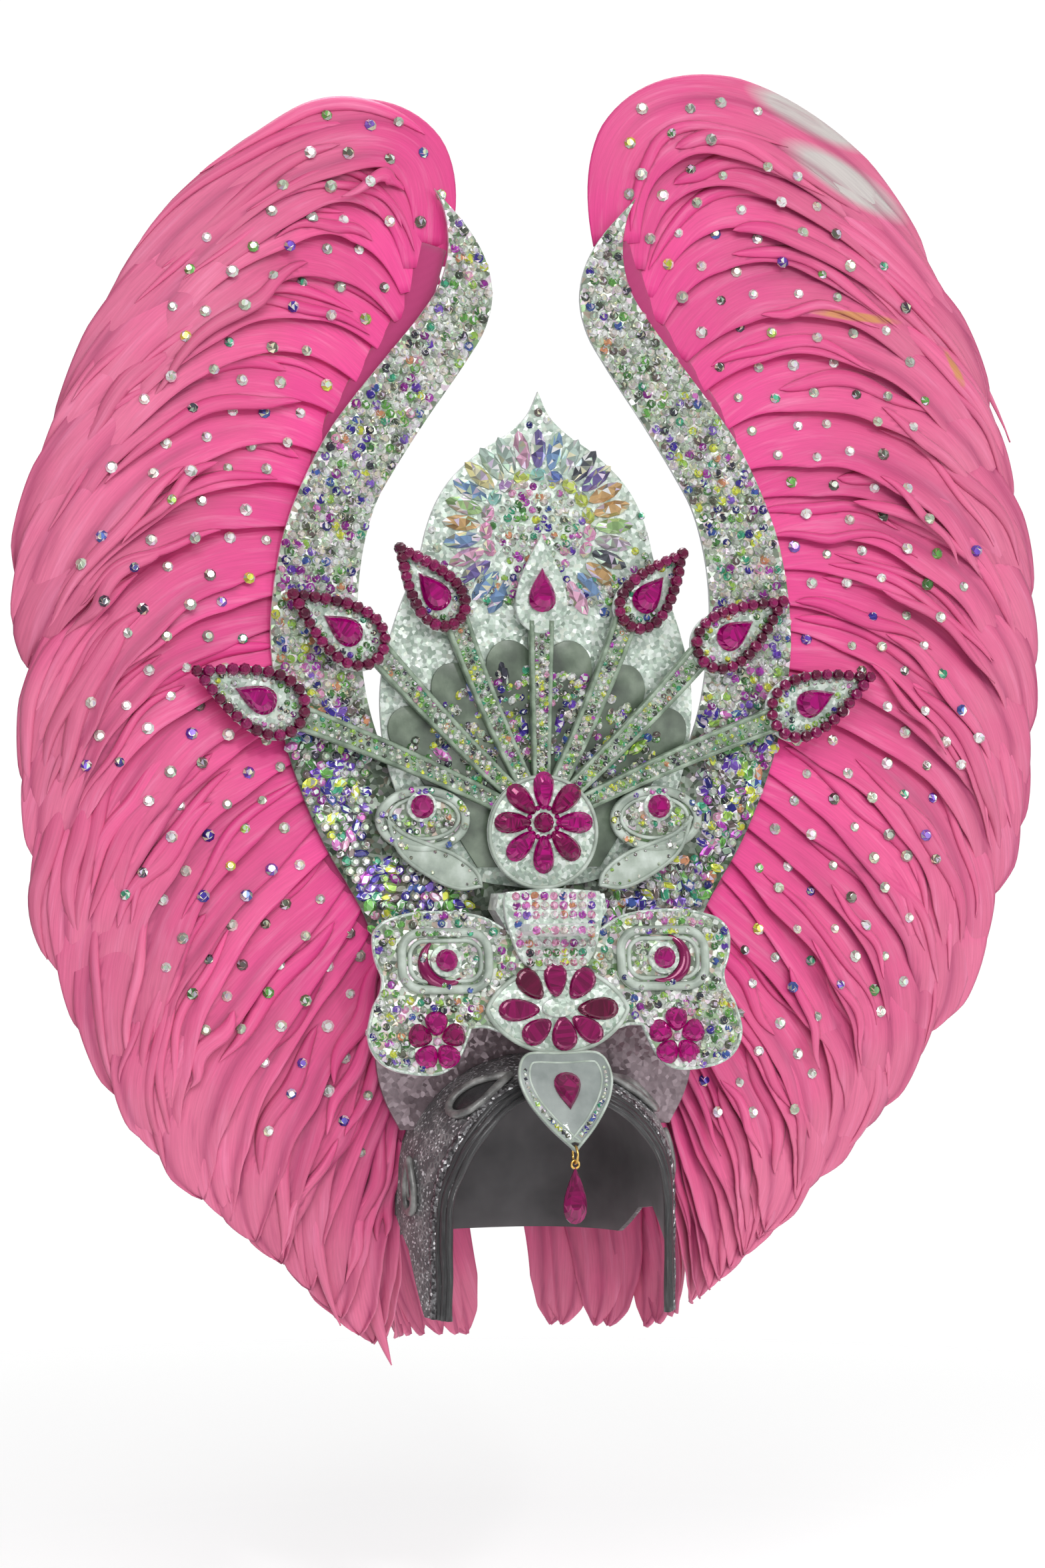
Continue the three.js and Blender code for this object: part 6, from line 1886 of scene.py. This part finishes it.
def headForm(name, grow):
    bpy.ops.mesh.primitive_uv_sphere_add(segments=96, ring_count=72, radius=1)
    piece = bpy.context.active_object
    piece.name = name
    power = cap["square"]
    wide, deep = cap["halfWidth"] + grow, cap["halfDepth"] + grow
    for vertex in piece.data.vertices:
        x, y, z = vertex.co
        angle = math.atan2(y, x)
        c, s = math.cos(angle), math.sin(angle)
        reach = 1 / ((abs(c) / wide) ** power + (abs(s) / deep) ** power) ** (1 / power)
        if z >= 0:
            share = math.sqrt(max(1 - z * z, 0))
            height = -cap["dome"] + (cap["dome"] + grow) * z
        else:
            share = 1 if z > -0.5 else math.sqrt(max(1 - z * z, 0)) / math.sqrt(0.75)
            height = -cap["dome"] + (cap["bottom"] - 20 + cap["dome"]) * min(1, -z * 2)
        vertex.co = (c * reach * share * mm, (cap["centreY"] + s * reach * share) * mm, height * mm)
    piece.select_set(False)
    return piece


def cutWith(piece, cutter):
    step = piece.modifiers.new("cut", "BOOLEAN")
    step.operation = "DIFFERENCE"
    step.solver = "EXACT"
    step.object = cutter
    applyModifiers(piece)
    bpy.data.objects.remove(cutter)


def makeCapShell():
    shell = headForm("cap", cap["wall"])
    cutWith(shell, headForm("room", 0))
    opening = cap["opening"]
    arch = [(opening["halfWidth"] * math.cos(a), opening["spring"] + opening["arch"] * math.sin(a))
            for a in (math.pi * k / 40 for k in range(41))]
    loop = [(opening["halfWidth"], -300), *arch, (-opening["halfWidth"], -300)]
    cutWith(shell, cutBoard("face", [loop], opening["backY"] - 200, 200, bevel=0))
    turned = Matrix.Rotation(math.pi / 2, 4, "Z")
    cutWith(shell, cutBoard("rim", [cap["rim"]], -300, 600, turned, bevel=0))
    bpy.context.view_layer.objects.active = shell
    soften = shell.modifiers.new("soften", "BEVEL")
    soften.width = 0.8 * mm
    soften.segments = 2
    soften.limit_method = "ANGLE"
    soften.angle_limit = math.radians(50)
    applyModifiers(shell)
    shell.select_set(True)
    bpy.ops.object.shade_smooth_by_angle(angle=math.radians(40))
    shell.name = "cap_lace_shell"
    return dress(shell, "capCloth", "cap_cloth", replacing=["cap_shell"])


def faceEdge(count):
    opening = cap["opening"]
    points = [(-opening["halfWidth"], z) for z in np.linspace(opening["tab"], opening["spring"], 16)[:-1]]
    points += [(opening["halfWidth"] * math.cos(a), opening["spring"] + opening["arch"] * math.sin(a))
               for a in (math.pi * (1 - k / count) for k in range(count + 1))]
    points += [(opening["halfWidth"], z) for z in np.linspace(opening["spring"], opening["tab"], 16)[1:]]
    return points


# Strands of dark glossy trim laid side by side round the face, and a ruffle of lace outside them
bandStrands = [
    {"away": 1.6, "lift": -1.0, "wide": 2.4, "high": 2.2, "wave": 0.5},
    {"away": 5.6, "lift": -0.6, "wide": 2.9, "high": 2.3, "wave": 0.8},
    {"away": 9.8, "lift": -0.9, "wide": 2.5, "high": 2.2, "wave": 0.6},
]
lace = {"away": 13.6, "lift": 0.6, "wide": 3.1, "high": 0.8}


# Where a point of the face's edge lies on the cap, which way is out and which way leads off the face
def edgePlace(points, i):
    x, z = points[i]
    before, after = points[max(i - 1, 0)], points[min(i + 1, len(points) - 1)]
    outward = capOutward(onCap(x, z, 0))
    along = (onCap(*after, cap["wall"]) - onCap(*before, cap["wall"])).normalized()
    return onCap(x, z, cap["wall"]), outward, outward.cross(along).normalized()


def makeFaceBand():
    edge = faceEdge(70)
    parts = []
    rng = random.Random(61)
    for strand in bandStrands:
        phase = rng.uniform(0, 6)
        path, outs, widths = [], [], []
        for i in range(len(edge)):
            spot, outward, away = edgePlace(edge, i)
            sway = strand["wave"] * math.sin(i * 0.23 + phase) + 0.3 * math.sin(i * 0.71)
            path.append(spot + away * (strand["away"] + sway) + outward * strand["lift"])
            outs.append(outward)
            widths.append(0.96 + 0.1 * math.sin(i * 0.37 + phase))
        count = 10
        rows, uv, run = [], [], 0
        for i, point in enumerate(path):
            along = (path[min(i + 1, len(path) - 1)] - path[max(i - 1, 0)]).normalized()
            side = along.cross(outs[i]).normalized()
            rows.append([point + side * a * widths[i] + outs[i] * b * widths[i]
                         for a, b in roundSection(strand["wide"], strand["high"], count)])
            run += (point - path[i - 1]).length if i else 0
            uv.append([(run * mm * 8, k / count + strand["away"]) for k in range(count + 1)])
        parts.append(painted(capEnds(shapedGrid("strand", rows, uv, close=True)), "darkBand"))
    band = merged("face_band_strands", parts)
    dress(band, None, "dark_band", replacing=["face_band"])

    rows, uv = [], []
    points = faceEdge(240)
    for i in range(len(points)):
        spot, outward, away = edgePlace(points, i)
        scallop = 0.75 + 0.35 * abs(math.sin(i * 0.42))
        middle = spot + away * lace["away"] + outward * lace["lift"]
        row = []
        for a, b in roundSection(lace["wide"] * scallop, lace["high"], 8):
            row.append(middle + away * a + outward * (b + 0.25 * math.sin(i * 0.84)))
        rows.append(row)
        uv.append([(i * 0.01, k / 8) for k in range(9)])
    trim = capEnds(shapedGrid("face_lace", rows, uv, close=True))
    dress(trim, "laceTrim", "cap_cloth")


def makeCapScroll(name):
    x, z, long, wide, turn = cap["scrolls"][name]
    seatAt = onCap(x, z, 0)
    outward = capOutward(seatAt)
    across = Vector((0, 0, 1)).cross(outward).normalized()
    up = outward.cross(across)
    parts = []
    for scale, radius, lift in ((1, 2.9, cap["wall"] + 2.4), (0.52, 1.5, cap["wall"] + 1.6)):
        if name == "left_upper" and scale < 1:
            continue
        loop = placedLine(teardropLine(long * scale, wide * scale), 48, 0, 0, math.radians(turn))
        path = [ontoCap(seatAt - outward * 30 + across * px + up * pz, outward, lift) for px, pz in loop]
        rows, uv = [], []
        for i, point in enumerate(path):
            along = (path[(i + 1) % 48] - path[i - 1]).normalized()
            side = along.cross(outward).normalized()
            swell = 1 + 0.12 * math.sin(i * 0.5)
            section = roundSection(radius, radius * 0.8, 10)
            rows.append([point + side * a * swell + outward * b for a, b in section])
            uv.append([(i * 0.01, k / 10) for k in range(11)])
        rows.append(rows[0])
        uv.append(uv[0])
        parts.append(painted(shapedGrid("loop", rows, uv, close=True), "scrollTrim"))
    bed = placedLine(teardropLine(long * 0.9, wide * 0.9), 40, 0, 0, math.radians(turn))
    rows = []
    for share in (0.0, 0.5, 1.0):
        starts = [seatAt - outward * 30 + across * px * share + up * pz * share for px, pz in bed + bed[:1]]
        rows.append([ontoCap(start, outward, cap["wall"] + 0.9) for start in starts])
    sheet = shapedGrid("bed", rows, close=True)
    wall = sheet.modifiers.new("wall", "SOLIDIFY")
    wall.thickness = 1.2 * mm
    wall.offset = 0
    applyModifiers(sheet)
    painted(sheet, "darkBand" if name == "left_upper" else "laceTrim")
    scroll = merged("cap_scroll_" + name + "_trim", [*parts, sheet])
    dress(scroll, None, "cap_cloth", replacing=["cap_scroll_" + name])


def laceMaterial():
    tree, shader = startMaterial("laceTrim", roughness=0.4, Metallic=0.35)
    cells = cellsOf(tree, 1.6)
    pick = addNode(tree, "ShaderNodeSeparateColor", {"Color": cells.outputs["Color"]})
    laceStops = [(0.0, paint(56, 54, 56)), (0.35, paint(92, 90, 92)), (0.7, paint(132, 132, 134)),
                 (0.93, paint(236, 236, 238))]
    shade = ramp(tree, pick.outputs["Red"], laceStops, "CONSTANT")
    tree.links.new(shade, shader.inputs["Base Color"])
    bump(tree, shader, cells.outputs["Distance"], 0.0005, 0.8)


laceMaterial()
capShell = makeCapShell()
makeFaceBand()
for scrollName in cap["scrolls"]:
    makeCapScroll(scrollName)
print("cap made")


bpy.ops.object.select_all(action="DESELECT")
